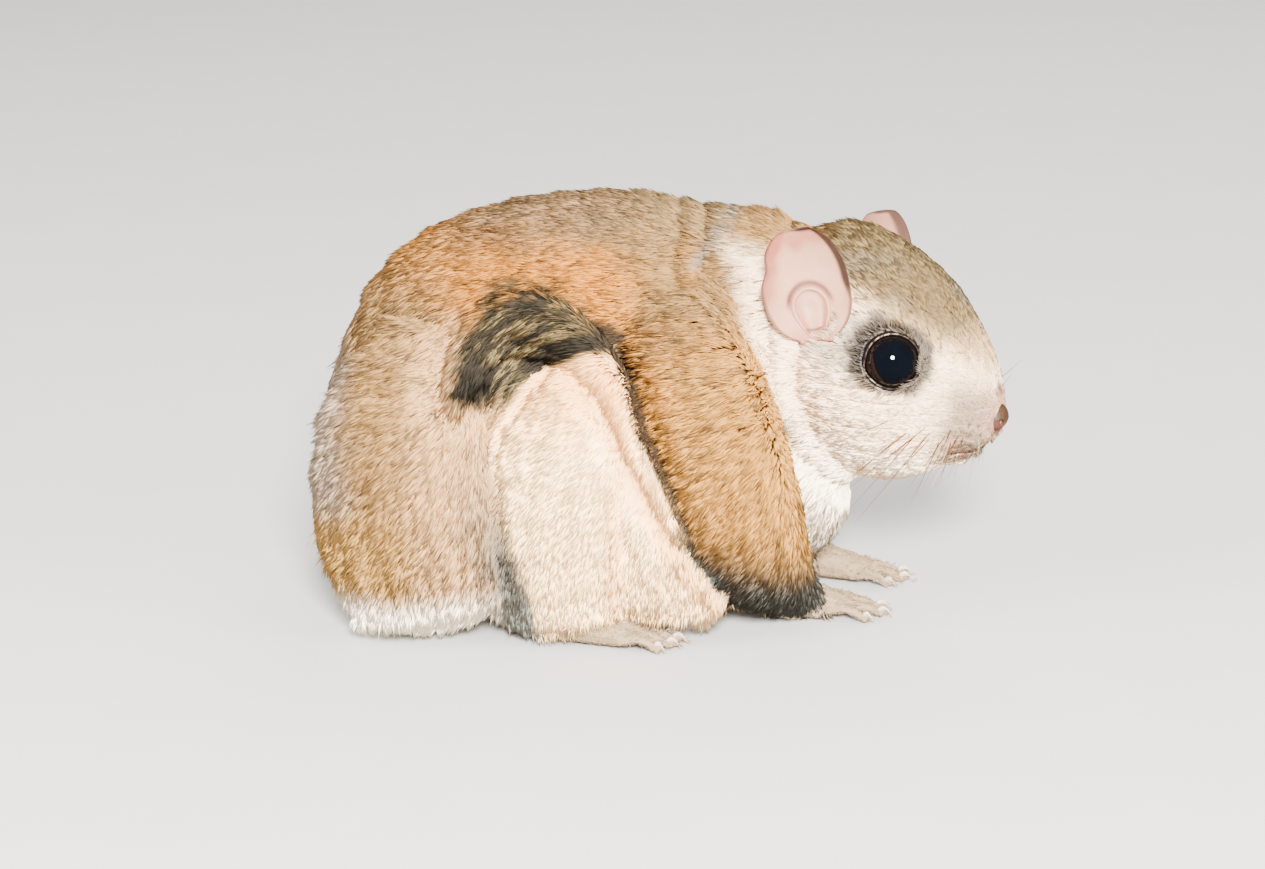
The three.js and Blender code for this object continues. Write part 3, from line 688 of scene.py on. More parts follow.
@dataclass(frozen=True)
class Tail:
    """The tail's core: rows of x, y, height, half width and half thickness."""

    rows: tuple[tuple[float, ...], ...] = (
        (-40, 4, 10, 5.5, 5),
        (-44, 5, 9, 5.5, 5),
        (-51.5, 13, 7, 5.6, 4.4),
        (-54.5, 27, 4.4, 4.6, 3.4),
        (-51, 41.5, 3.4, 4.6, 2.4),
        (-39.5, 51, 2.9, 4.8, 1.9),
        (-22, 54.5, 2.7, 4.8, 1.7),
        (-2, 54.2, 2.5, 4.4, 1.5),
        (9, 52.8, 2.2, 3, 1.2),
        (13, 52.2, 2.0, 1.2, 0.8),
    )
    sides: int = 20
    steps: int = 90
    top: float = 14.0
    reach: float = 6.5
    near: float = 3.5

    def core(self) -> tuple[Array, Array]:
        """A closed tube along the tail.

        Returns:
            The points and the faces, as triangles.
        """
        places = np.linspace(0, len(self.rows) - 1.001, self.steps)
        rings = np.array([between(self.rows, place) for place in places])
        way = unit(np.gradient(rings[:, :3], axis=0) * np.array([1, 1, 0]))
        across = np.stack([-way[:, 1], way[:, 0], np.zeros(len(way))], axis=1)
        turns = np.linspace(0, 2 * np.pi, self.sides, endpoint=False)
        points = (
            rings[:, None, :3]
            + across[:, None] * (np.cos(turns)[None, :, None] * rings[:, None, 3:4])
            + np.array([0, 0, 1.0]) * (np.sin(turns)[None, :, None] * rings[:, None, 4:5])
        )
        return tube_mesh(points)

    def path(self) -> tuple[Array, Array]:
        """The middle of the core.

        Returns:
            Points along it, and the way toward the tip at each.
        """
        places = np.linspace(0, len(self.rows) - 1.001, 160)
        middle = np.array([between(self.rows, place)[:3] for place in places])
        return middle, unit(np.gradient(middle, axis=0) * np.array([1, 1, 0.2]))

    def holds(self, points: Array) -> Array:
        """Which places of the skin are the tail's own.

        Args:
            points: places in millimetres.

        Returns:
            True or false a place.
        """
        x, y, z = points.T
        found = np.zeros(len(points), bool)
        low = np.flatnonzero((z < self.top) & ((y > 33) | ((x < -44) & (y > 3))))
        gap = np.sqrt(((points[low, None] - self.path()[0][None]) ** 2).sum(axis=2)).min(axis=1)
        clear = (y[low] > 33.8) | (x[low] < -52) | (gap < self.near)
        found[low] = (gap < self.reach) & clear
        return found


TAIL = Tail()


@dataclass(frozen=True)
class Lie:
    """The way the coat lies, and how long and deep it is.

    Each row of sizes is for the body, the nape, the cheek, the nose, the hands and the tail's brush.
    """

    lengths: tuple[float, ...] = (5.3, 4.5, 2.8, 1.6, 1.1, 8.0)
    breadths: tuple[float, ...] = (0.26, 0.22, 0.15, 0.12, 0.15, 0.38)
    depths: tuple[float, ...] = (1.7, 1.4, 0.62, 0.34, 0.16, 1.2)
    densities: tuple[float, ...] = (11.4, 12.6, 16.5, 22.0, 4.0, 9.0)

    def slanted(self, angle: Array) -> Array:
        """A way back along the flank and down by an angle in degrees."""
        turn = np.radians(angle)
        return np.stack([-np.cos(turn), np.zeros_like(turn), -np.sin(turn)], axis=1)

    def around(self, points: Array, x: float, z: float) -> Array:
        """The way round a place on the flank, backward over its top and down behind it."""
        return unit(np.stack([z - points[:, 2], np.zeros(len(points)), points[:, 0] - x], axis=1))

    def directions(self, points: Array, share: Share) -> Array:
        """The way the hairs point.

        Args:
            points: places on the animal.
            share: how much each place belongs to a region.

        Returns:
            A direction a place.
        """
        x, y, z = points.T
        flat = np.ones(len(points))
        outside = smooth(12, 18, np.abs(y))
        edge, along = FOLD_EDGE.measure(points)
        top, _ = ARCH_TOP.measure(points)
        face = smooth(-1.0, 7.0, FACE_BORDER.measure(points)[0])
        way = blend(self.slanted(8 * flat), self.around(points, -18, 22), smooth(-14, -40, x))
        chest = share(Region.NECK) * smooth(52, 34, z) * face
        way = blend(way, self.slanted(82 - 14 * smooth(30, 40, x)), chest)
        low = smooth(-8, 4, x) * smooth(62, 52, z) * (1 - share(Region.HEAD)) * (1 - share(Region.NECK))
        low = np.maximum(low, share(Region.NECK) * (1 - face) * smooth(62, 52, z))
        steeper = self.slanted(12 + 1.05 * (56 - z).clip(0, 45))
        way = blend(way, steeper, np.maximum(low, share(Region.SLEEVE)))
        from_pit = unit((points - PIT) * np.array([1, 0, 1]))
        lower = smooth(-0.2, 0.6, from_pit @ unit(np.array([-0.7, 0, -0.7])))
        fan = unit(from_pit * (0.85 * lower)[:, None] + np.array([-0.55, 0, -0.7]))
        near = smooth(44, 26, np.linalg.norm((points - PIT)[:, [0, 2]], axis=1)) * smooth(6, -2, top)
        near = np.maximum(share(Region.HAUNCH), near * smooth(-24, -30, x))
        way = blend(way, fan, near * smooth(6, 14, z))
        way = blend(way, self.slanted(84 * flat), share(Region.HAUNCH) * smooth(18, 8, z))
        over = smooth(1.5, -1.5, top) * smooth(-0.5, 0.8, edge) * outside
        over = over * smooth(-5, -9, x) * smooth(40, 46, z)
        arc = unit(self.around(points, -14, 44) + 0.45 * unit(np.array([-0.6, 0, -0.7])))
        way = blend(way, arc, over)
        drape = self.slanted((22 + 1.5 * (50 - z)).clip(15, 84))
        way = blend(way, drape, share(Region.DRAPE) * smooth(0.4, -0.8, edge))
        beside = smooth(-4.0, -1.5, edge) * smooth(0.8, 0.0, edge) * outside
        beside = beside * smooth(0.34, 0.42, along)
        way = blend(way, self.slanted(100 * flat), beside)
        way = blend(way, self.head_directions(points), share(Region.HEAD))
        hand = np.stack([flat, -0.15 * np.sign(y), -0.1 * flat], axis=1)
        way = blend(way, unit(hand), share(Region.HAND) + share(Region.FOOT))
        return unit(blend(way, self.tail_directions(points), smooth(0.3, 0.8, share(Region.TAIL))))

    def head_directions(self, points: Array) -> Array:
        """The way the hairs of the head point, back from the nose and round the eyes.

        Args:
            points: places on the animal.

        Returns:
            A direction a place.
        """
        own = HEAD.own(points)
        away = unit(own - np.array([19.0, 0.0, -7.0]))
        back = np.repeat(np.array([[-1.0, 0.0, 0.0]]), len(points), axis=0)
        way = unit(back * 0.7 + away * 0.6 + np.array([0, 0, -0.25]) * smooth(4, -8, own[:, 2])[:, None])
        for side in Side:
            offset = own - EYE.middle(side)
            near = smooth(10.5, 6.0, np.linalg.norm(offset, axis=1))
            way = unit(blend(way, unit(unit(offset) + 0.9 * way), near))
        return HEAD.aimed(way)

    def tail_directions(self, points: Array) -> Array:
        """The way the tail's hairs point, out to both sides and toward the tip.

        Args:
            points: places on the animal.

        Returns:
            A direction a place.
        """
        middle, way = TAIL.path()
        result = np.zeros_like(points)
        for start in range(0, len(points), 4000):
            part = points[start:start + 4000]
            nearest = np.argmin(((part[:, None] - middle[None]) ** 2).sum(axis=2), axis=1)
            offset = (part - middle[nearest]) * np.array([1, 1, 0])
            result[start:start + 4000] = way[nearest] + 0.19 * offset + np.array([0, 0, 0.03])
        return unit(result)

    def sizes(self, points: Array, share: Share) -> dict[str, Array]:
        """The sizes of the coat.

        Args:
            points: places on the animal.
            share: how much each place belongs to a region.

        Returns:
            The length and breadth of a tuft, the coat's depth and the tufts a square millimetre.
        """
        own = HEAD.own(points)
        head, drape = share(Region.HEAD), share(Region.DRAPE)
        bare = np.clip(share(Region.HAND) + share(Region.FOOT), 0, 1)
        tail = smooth(0.3, 0.8, share(Region.TAIL))
        front = smooth(-16, 6, own[:, 0])
        muzzle = smooth(5, 14, own[:, 0])
        eye, ear = np.zeros(len(points)), np.zeros(len(points))
        for side in Side:
            eye = np.maximum(eye, smooth(9.5, 6.5, np.linalg.norm(own - EYE.middle(side), axis=1)))
            ear = np.maximum(ear, np.maximum(EAR.covers(own, side), EAR.foot_covers(own, side)))

        def graded(row: tuple[float, ...]) -> Array:
            """Grades one row of sizes over the animal.

            Args:
                row: the sizes.

            Returns:
                The size at each place.
            """
            body, nape, cheek, nose, hand, brush = row
            on_head = nape + (cheek - nape) * front + (nose - cheek) * np.maximum(muzzle, 0.6 * eye)
            value = body + (on_head - body) * head
            value = value + (hand - value) * bare
            return value + (brush - value) * tail

        x, y, z = points.T
        under = smooth(4.5, 2.5, z) * smooth(27, 21, np.abs(y)) * smooth(-54, -48, x)
        under = under * (1 - bare) * (1 - tail)
        hem = smooth(11, 5, z) * (1 - tail) * (1 - bare)
        crease = 4 * share(Region.NECK) * (1 - share(Region.NECK)) * (1 - head)
        hidden = tail * smooth(12, 5, y)
        open_skin = smooth(1.0, 1.25, MUZZLE.on_pad(own)) * smooth(0.25, 0.8, MUZZLE.mouth_gap(own))
        thinned = (1 + crease) * (1 - 0.78 * under) * (1 - ear) * open_skin * (1 - hidden)
        return {
            "length": graded(self.lengths) * (1 - 0.1 * drape) * (1 - 0.3 * hem),
            "breadth": graded(self.breadths) * (1 + 0.5 * under) * (1 - 0.2 * drape),
            "depth": graded(self.depths) * (1 - 0.5 * drape) * (1 - 0.5 * crease),
            "density": graded(self.densities) * thinned,
        }


LIE = Lie()


# Meshes


def band(low: int, high: int, sides: int) -> list[Array]:
    """The triangles between two rings of points.

    Args:
        low: the number of the first ring's first point.
        high: the same for the second ring.
        sides: the points in a ring.

    Returns:
        Two sets of triangles.
    """
    i = np.arange(sides)
    j = (i + 1) % sides
    return [
        np.stack([low + i, low + j, high + j], axis=1),
        np.stack([low + i, high + j, high + i], axis=1),
    ]


def facing_out(points: Array, faces: Array) -> Array:
    """Turns triangles to face away from the middle of a shape.

    Args:
        points: the shape's points.
        faces: its triangles, all turned alike.

    Returns:
        The triangles, turned round where that is needed.
    """
    a, b, c = (points[faces[:, k]] for k in range(3))
    inward = np.einsum("ij,ij->", a - points.mean(axis=0), np.cross(b - a, c - a)) < 0
    return faces[:, ::-1] if inward else faces


def gathered(shapes: Sequence[tuple[Array, Array]]) -> tuple[Array, Array]:
    """Puts shapes into one.

    Args:
        shapes: the points and triangles of each.

    Returns:
        The points and triangles of all.
    """
    starts = np.cumsum([0] + [len(points) for points, _ in shapes[:-1]])
    faces = [triangles + start for (_, triangles), start in zip(shapes, starts)]
    return np.concatenate([points for points, _ in shapes]), np.concatenate(faces)


def tube_mesh(rings: Array) -> tuple[Array, Array]:
    """Closes rings of points into a tube with a pole at each end.

    Args:
        rings: the rings, as an array of rings, points and coordinates.

    Returns:
        The points and the triangles.
    """
    count, sides = rings.shape[:2]
    points = np.concatenate([rings.reshape(-1, 3), rings[:1].mean(axis=1), rings[-1:].mean(axis=1)])
    i = np.arange(sides)
    j = (i + 1) % sides
    faces = [part for row in range(count - 1) for part in band(row * sides, (row + 1) * sides, sides)]
    start, end, last = len(points) - 2, len(points) - 1, (count - 1) * sides
    faces.append(np.stack([np.full(sides, start), j, i], axis=1))
    faces.append(np.stack([np.full(sides, end), last + i, last + j], axis=1))
    faces = np.concatenate(faces)
    a, b, c = (points[faces[:, k]] for k in range(3))
    if np.einsum("ij,ij->", a, np.cross(b, c)) < 0:
        faces = faces[:, ::-1]
    return points, faces


def make_mesh(name: str, points: Array, triangles: Array) -> bpy.types.Object:
    """Makes an object of triangles, at the origin.

    Args:
        name: the object's name.
        points: its points in millimetres.
        triangles: rows of three point numbers.

    Returns:
        The new object.
    """
    mesh = bpy.data.meshes.new(name)
    mesh.vertices.add(len(points))
    mesh.vertices.foreach_set("co", (points * MM).astype(np.float32).ravel())
    mesh.loops.add(triangles.size)
    mesh.loops.foreach_set("vertex_index", triangles.astype(np.int32).ravel())
    mesh.polygons.add(len(triangles))
    mesh.polygons.foreach_set("loop_start", np.arange(0, triangles.size, 3, dtype=np.int32))
    mesh.update(calc_edges=True)
    mesh.polygons.foreach_set("use_smooth", np.ones(len(triangles), bool))
    thing = bpy.data.objects.new(name, mesh)
    bpy.context.scene.collection.objects.link(thing)
    return thing


def paint(thing: bpy.types.Object, name: str, colours: Array) -> None:
    """Gives each vertex of a piece a colour.

    Args:
        thing: the piece.
        name: the attribute's name.
        colours: one linear colour a vertex.
    """
    layer = thing.data.color_attributes.new(name, "FLOAT_COLOR", "POINT")
    solid = np.ones((len(colours), 4), np.float32)
    solid[:, :3] = np.clip(colours, 0, 1)
    layer.data.foreach_set("color", solid.ravel())


def select_only(thing: bpy.types.Object) -> None:
    """Makes a piece the only selected and the active one.

    Args:
        thing: the piece.
    """
    bpy.ops.object.select_all(action="DESELECT")
    thing.select_set(True)
    bpy.context.view_layer.objects.active = thing


def join(whole: bpy.types.Object, others: Sequence[bpy.types.Object]) -> None:
    """Joins pieces into one.

    Args:
        whole: the piece that takes the others in.
        others: the others, which are used up.
    """
    select_only(whole)
    for other in others:
        other.select_set(True)
    if others:
        bpy.ops.object.join()


@contextmanager
def editing(thing: bpy.types.Object) -> Iterator[None]:
    """Opens a piece for editing, with all of it selected, and closes it again.

    Args:
        thing: the piece.

    Returns:
        Nothing, while the piece is open.
    """
    select_only(thing)
    bpy.ops.object.mode_set(mode="EDIT")
    bpy.ops.mesh.select_all(action="SELECT")
    yield
    bpy.ops.object.mode_set(mode="OBJECT")


def read(items: bpy.types.bpy_prop_collection, name: str, width: int, kind: type = np.float32) -> Array:
    """Reads one property of every item of a mesh.

    Args:
        items: its vertices, edges or other parts.
        name: the property.
        width: how many numbers each has.
        kind: what kind of number.

    Returns:
        One row of numbers an item.
    """
    values = np.zeros(len(items) * width, kind)
    items.foreach_get(name, values)
    return values.reshape(-1, width)


def neighbour_mean(mesh: bpy.types.Mesh) -> Callable[[Array], Array]:
    """Averaging over the neighbours of each vertex.

    Args:
        mesh: the mesh.

    Returns:
        A function from rows of values to the means of their neighbours' values.
    """
    a, b = read(mesh.edges, "vertices", 2, np.int32).T
    size = len(mesh.vertices)
    count = np.bincount(a, minlength=size) + np.bincount(b, minlength=size)

    def mean(values: Array) -> Array:
        """The means of the neighbours' values."""
        sums = [np.bincount(a, column[b], size) + np.bincount(b, column[a], size) for column in values.T]
        return np.stack(sums, axis=1) / count[:, None]

    return mean


def read_points(mesh: bpy.types.Mesh) -> Array:
    """The mesh's points in millimetres."""
    return read(mesh.vertices, "co", 3).astype(float) / MM


def write_points(mesh: bpy.types.Mesh, points: Array) -> None:
    """Moves the mesh's points to places in millimetres."""
    mesh.vertices.foreach_set("co", (points * MM).astype(np.float32).ravel())
    mesh.update()


def read_normals(mesh: bpy.types.Mesh) -> Array:
    """The mesh's soft normals at its points."""
    return unit(read(mesh.vertices, "normal", 3).astype(float))


def place(thing: bpy.types.Object, slot: Slot, *nodes: str) -> bpy.types.Object:
    """Says what a finished piece rides on and stands for.

    Args:
        thing: the piece.
        slot: the record's material slot; not used.
        nodes: the solids that it replaces.

    Returns:
        The piece.
    """
    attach(thing, "root")
    if nodes:
        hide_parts(*nodes)
    return thing


# Finishes


class Wire:
    """A shader socket that can be added, subtracted and multiplied like a number."""

    def __init__(self, board: "Board", socket: bpy.types.NodeSocket) -> None:
        """Keeps the socket and the board that it is on."""
        self.board = board
        self.socket = socket

    def _with(self, operation: str, first: Number, second: Number) -> "Wire":
        """A Math node on two values."""
        return self.board.node("ShaderNodeMath", {"operation": operation}, {0: first, 1: second}).out("Value")

    def __add__(self, other: Number) -> "Wire":
        """This value plus another."""
        return self._with("ADD", self, other)

    def __radd__(self, other: Number) -> "Wire":
        """A number plus this value."""
        return self._with("ADD", other, self)

    def __sub__(self, other: Number) -> "Wire":
        """This value less another."""
        return self._with("SUBTRACT", self, other)

    def __rsub__(self, other: Number) -> "Wire":
        """A number less this value."""
        return self._with("SUBTRACT", other, self)

    def __mul__(self, other: Number) -> "Wire":
        """This value times another."""
        return self._with("MULTIPLY", self, other)

    def __rmul__(self, other: Number) -> "Wire":
        """A number times this value."""
        return self._with("MULTIPLY", other, self)


class Part:
    """A shader node just added to a board."""

    def __init__(self, board: "Board", node: bpy.types.Node) -> None:
        """Keeps the node and the board that it is on."""
        self.board = board
        self.node = node

    def out(self, name: Union[str, int] = 0) -> Wire:
        """One of the node's outputs."""
        return Wire(self.board, self.node.outputs[name])


class Board:
    """The nodes of one material."""

    def __init__(self, name: str, **shader: object) -> None:
        """Starts a material with one shader.

        Args:
            name: the material's name.
            shader: values for the shader's sockets, by name with _ for a space.
        """
        self.material = bpy.data.materials.new(name)
        self.material.use_nodes = True
        self.tree = self.material.node_tree
        self.tree.nodes.clear()
        sockets = {key.replace("_", " "): value for key, value in shader.items()}
        self.shader = self.node("ShaderNodeBsdfPrincipled", {}, sockets)
        end = self.node("ShaderNodeOutputMaterial", {}, {"Surface": self.shader.out("BSDF")})
        end.node.is_active_output = True

    def node(self, kind: str, settings: dict[str, object], sockets: dict[Union[str, int], object]) -> Part:
        """Adds a node.

        Args:
            kind: the node's type.
            settings: its own settings, set first.
            sockets: values or wires for its inputs.

        Returns:
            The node.
        """
        node = self.tree.nodes.new(kind)
        for name, value in settings.items():
            setattr(node, name, value)
        for name, value in sockets.items():
            if isinstance(value, Wire):
                self.tree.links.new(value.socket, node.inputs[name])
            else:
                node.inputs[name].default_value = value
        return Part(self, node)

    def feed(self, name: str, wire: Wire) -> None:
        """Joins a wire to one of the shader's inputs."""
        self.tree.links.new(wire.socket, self.shader.node.inputs[name])

    def here(self) -> Wire:
        """The place on the piece, in metres."""
        return self.node("ShaderNodeTexCoord", {}, {}).out("Object")

    def noise(self, scale: float, detail: float = 2.0, roughness: float = 0.5) -> Wire:
        """Noise over the piece, with its scale in patches a metre."""
        sockets = {"Vector": self.here(), "Scale": scale, "Detail": detail, "Roughness": roughness}
        return self.node("ShaderNodeTexNoise", {}, sockets).out(0)

    def attribute(self, name: str) -> Wire:
        """A colour kept on the piece's vertices."""
        return self.node("ShaderNodeAttribute", {"attribute_name": name}, {}).out("Color")

    def tinted(self, colour: Wire, amount: Wire) -> Wire:
        """A colour made lighter or darker by a factor."""
        scaled = self.node("ShaderNodeVectorMath", {"operation": "SCALE"}, {0: colour, "Scale": amount})
        return scaled.out("Vector")

    def mixed(self, first: object, second: object, share: Number) -> Wire:
        """A mix of two colours."""
        settings = {"data_type": "RGBA"}
        return self.node("ShaderNodeMix", settings, {0: share, 6: first, 7: second}).out(2)

    def bumped(self, height: Wire, depth: float, strength: float = 1.0) -> None:
        """Raises the surface by a height, at most the depth in metres."""
        sockets = {"Height": height, "Distance": depth, "Strength": strength}
        self.feed("Normal", self.node("ShaderNodeBump", {}, sockets).out("Normal"))


@dataclass(frozen=True)
class FurFinish:
    """Soft hair whose colour is kept on its tufts, with fine lighter and darker hairs."""

    name: str
    roughness: float = 0.75
    hair_size: float = 0.25
    contrast: float = 0.2

    def material(self) -> bpy.types.Material:
        """The hair's look.

        Returns:
            The material.
        """
        board = Board(self.name, Roughness=self.roughness, Specular_IOR_Level=0.03)
        fine = board.noise(1.0 / (self.hair_size * MM), 2.0)
        broad = board.noise(1.0 / (3.0 * MM), 2.0)
        amount = 1.0 - 0.5 * self.contrast + fine * self.contrast + (broad - 0.5) * 0.1
        board.feed("Base Color", board.tinted(board.attribute("coat_colour"), amount))
        return board.material


@dataclass(frozen=True)
class SkinFinish:
    """Skin under the coat, in the coat's own colours, and bare and wrinkled on the hands and the nose."""

    name: str = "pelt_skin"
    wrinkle: float = 0.35

    def material(self) -> bpy.types.Material:
        """The skin's look.

        Returns:
            The material.
        """
        board = Board(self.name, Roughness=0.75, Specular_IOR_Level=0.1)
        fine = board.noise(1.0 / (self.wrinkle * MM), 4.0, 0.6)
        board.feed("Base Color", board.tinted(board.attribute("coat_colour"), 0.84 + fine * 0.24))
        board.bumped(fine, 0.12 * MM)
        return board.material


@dataclass(frozen=True)
class BareFinish:
    """Thin bare skin, such as an ear's or a nose's, with its colour kept on its vertices."""

    name: str
    roughness: float = 0.5
    grain: float = 0.3
    depth: float = 0.05
    glow: float = 0.15
    shine: float = 0.25

    def material(self) -> bpy.types.Material:
        """The bare skin's look.

        Returns:
            The material.
        """
        board = Board(
            self.name,
            Roughness=self.roughness,
            Subsurface_Weight=self.glow,
            Subsurface_Scale=0.4 * MM,
            Specular_IOR_Level=self.shine,
        )
        grain = board.noise(1.0 / (self.grain * MM), 4.0, 0.6)
        broad = board.noise(1.0 / (1.6 * MM), 3.0)
        amount = 0.84 + grain * 0.16 + broad * 0.16
        board.feed("Base Color", board.tinted(board.attribute("coat_colour"), amount))
        board.bumped(grain, self.depth * MM)
        return board.material


@dataclass(frozen=True)
class EyeFinish:
    """A wet, near-black eye, with its colour kept on its vertices."""

    name: str = "wet_eye"

    def material(self) -> bpy.types.Material:
        """The eye's look.

        Returns:
            The material.
        """
        board = Board(self.name, Roughness=0.03, Specular_IOR_Level=0.35)
        cloudiness = board.noise(1.0 / (2.4 * MM), 2.0)
        board.feed("Base Color", board.tinted(board.attribute("coat_colour"), 0.7 + cloudiness * 0.6))
        return board.material


@dataclass(frozen=True)
class ClawFinish:
    """Horn streaked with pale and dark."""

    name: str = "claw_horn"

    def material(self) -> bpy.types.Material:
        """The horn's look.

        Returns:
            The material.
        """
        board = Board(self.name, Roughness=0.35, Specular_IOR_Level=0.5)
        streak = board.noise(1.0 / (0.4 * MM), 3.0)
        pale, dark = (*linear(206, 186, 168), 1.0), (*linear(120, 96, 84), 1.0)
        board.feed("Base Color", board.mixed(pale, dark, streak))
        return board.material


@dataclass(frozen=True)
class FloorFinish:
    """A plain pale floor."""

    name: str = "pale_floor"

    def material(self) -> bpy.types.Material:
        """The floor's look.

        Returns:
            The material.
        """
        board = Board(self.name, Roughness=0.75, Specular_IOR_Level=0.2)
        faint = board.noise(60.0, 2.0)
        light, shade = (*linear(186, 183, 177), 1.0), (*linear(181, 178, 172), 1.0)
        board.feed("Base Color", board.mixed(light, shade, faint))
        return board.material


# Skin

PAIRED_NODES = {
    "foreleg": Region.SLEEVE,
    "hindleg": Region.HAUNCH,
    "membrane": Region.DRAPE,
    "hand": Region.HAND,
    "hindfoot": Region.FOOT,
}
NODE_REGIONS = {"torso": Region.TORSO, "neck": Region.NECK, "head": Region.HEAD} | {
    f"{name}_{side.word}": region for name, region in PAIRED_NODES.items() for side in Side
}
PAW_REGIONS = (Region.HAND, Region.FOOT)
TAIL_NODES = ("tail_base", "tail_middle", "tail_tip")


@dataclass
class Skin:
    """One skin over all the flesh, set in from the solids by the depth of the coat."""

    voxel: float = 0.95
    paw_voxel: float = 0.5
    weld: float = 0.001
    swell: float = 0.28
    floor_gap: float = 0.15
    relax: int = 12
    paw_relax: int = 2
    fine_from: float = 5.0
    fine_cuts: int = 3
    fine_rounds: int = 6
    border_rounds: int = 3
    combing: int = 16
    crease_spread: int = 12
    crease_rounds: int = 70

    def _copy(self, names: Sequence[str]) -> bpy.types.Object:
        """Copies solids into one object, merged and slightly swollen, so that their gaps close.

        Args:
            names: the solids' names.

        Returns:
            The joined copy.
        """
        copies = []
        for name in names:
            copy = bpy.data.objects.new("skin_part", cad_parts[name].data.copy())
            bpy.context.scene.collection.objects.link(copy)
            copies.append(copy)
        whole, *others = copies
        join(whole, others)
        with editing(whole):
            bpy.ops.mesh.remove_doubles(threshold=self.weld * MM)
            bpy.ops.transform.shrink_fatten(value=self.swell * MM)
        return whole

    def _remesh(self, whole: bpy.types.Object, voxel: float) -> None:
        """Rebuilds a joined copy as one even surface.

        Args:
            whole: the copy.
            voxel: the size of its faces.
        """
        select_only(whole)
        whole.data.remesh_voxel_size = voxel * MM
        bpy.ops.object.voxel_remesh()

    def _relax(
        self, thing: bpy.types.Object, rounds: int, keep: Union[Array, None] = None, back: float = 0.42
    ) -> None:
        """Softens a surface.

        Args:
            thing: the piece.
            rounds: how many times each point moves halfway to the middle of its neighbours.
            keep: how much each point moves; less on the face where it isn't given.
            back: how far every second round moves the other way, to keep the size.
        """
        mean = neighbour_mean(thing.data)
        points = read_points(thing.data)
        if keep is None:
            keep = 1 - 0.75 * smooth(2, 9, HEAD.own(points)[:, 0])
        for i in range(rounds):
            gain = 0.5 if i % 2 == 0 else -back
            points = points + (mean(points) - points) * (gain * keep)[:, None]
        write_points(thing.data, points)

    def _refine(self, whole: bpy.types.Object) -> None:
        """Cuts the faces of the muzzle finer, for the mouth and the lips.

        Args:
            whole: the skin.
        """
        mesh = whole.data
        points = HEAD.own(read_points(mesh))
        with editing(whole):
            bpy.ops.mesh.select_mode(type="VERT")
            bpy.ops.mesh.select_all(action="DESELECT")
        mesh.vertices.foreach_set("select", points[:, 0] > self.fine_from)
        bpy.ops.object.mode_set(mode="EDIT")
        bpy.ops.mesh.subdivide(number_cuts=self.fine_cuts)
        bpy.ops.object.mode_set(mode="OBJECT")
        front = HEAD.own(read_points(mesh))[:, 0]
        self._relax(whole, self.fine_rounds, smooth(self.fine_from - 2, self.fine_from + 1, front))

    def _label(self, points: Array) -> Array:
        """How much each point belongs to each region, from the nearest solid.

        Args:
            points: places in millimetres.

        Returns:
            One row of shares a point.
        """
        corners, owners, faces, offset = [], [], [], 0
        for name, region in NODE_REGIONS.items():
            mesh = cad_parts[name].data
            corners.append(read_points(mesh))
            faces.extend([tuple(v + offset for v in polygon.vertices) for polygon in mesh.polygons])
            owners.extend([region.value] * len(mesh.polygons))
            offset += len(mesh.vertices)
        tree = BVHTree.FromPolygons(np.concatenate(corners).tolist(), faces)
        weights = np.zeros((len(points), len(Region)))
        for i, point in enumerate(points):
            _, _, nearest, _ = tree.find_nearest(Vector(point))
            weights[i, owners[nearest]] = 1.0
        on_tail = TAIL.holds(points)
        weights[on_tail] = 0.0
        weights[on_tail, Region.TAIL.value] = 1.0
        return weights

    def _soften(self, thing: bpy.types.Object, weights: Array, rounds: int) -> Array:
        """Spreads the regions' shares a little over their borders.

        Args:
            thing: the skin.
            weights: the shares.
            rounds: how often they are averaged with their neighbours.

        Returns:
            The softened shares.
        """
        mean = neighbour_mean(thing.data)
        for _ in range(rounds):
            weights = 0.5 * weights + 0.5 * mean(weights)
        return weights

    def build(self) -> tuple[bpy.types.Object, Pelt]:
        """Builds the skin and gathers what the coat needs.

        Returns:
            The skin and its pelt.
        """
        paws = [name for name, region in NODE_REGIONS.items() if region in PAW_REGIONS]
        whole = self._copy([name for name in NODE_REGIONS if name not in paws])
        join(whole, [make_mesh("tail_core", *TAIL.core())])
        self._remesh(whole, self.voxel)
        self._relax(whole, self.relax)
        neck = self._label(read_points(whole.data))[:, [Region.NECK.value]]
        neck = self._soften(whole, neck, self.crease_spread)[:, 0]
        self._relax(whole, self.crease_rounds, smooth(0.0, 0.3, neck * (1 - neck)), back=-0.5)
        self._refine(whole)
        for name in paws:
            paw = self._copy([name])
            self._remesh(paw, self.paw_voxel)
            self._relax(paw, self.paw_relax)
            join(whole, [paw])
        whole.name = "skin"
        whole.data.name = "skin"
        with editing(whole):
            bpy.ops.mesh.quads_convert_to_tris()
        outer = read_points(whole.data)
        normals = read_normals(whole.data)
        weights = self._soften(whole, self._label(outer), self.border_rounds)
        share = lambda region: weights[:, region.value]
        depth = LIE.sizes(outer, share)["depth"]
        inner = MUZZLE.shaped(outer - normals * (depth + self.swell)[:, None], normals)
        inner[:, 2] = np.maximum(inner[:, 2], self.floor_gap)
        write_points(whole.data, inner)
        paint(whole, "coat_colour", MARKINGS.colours(outer, share))
        whole.data.materials.clear()
        whole.data.materials.append(SkinFinish().material())
        whole.data.polygons.foreach_set("use_smooth", np.ones(len(whole.data.polygons), bool))
        place(whole, Slot.BACK, *NODE_REGIONS, *TAIL_NODES)
        lie = unit(self._soften(whole, LIE.directions(outer, share), self.combing))
        return whole, Pelt(inner, read_normals(whole.data), *self._unwrap(whole), weights, lie)

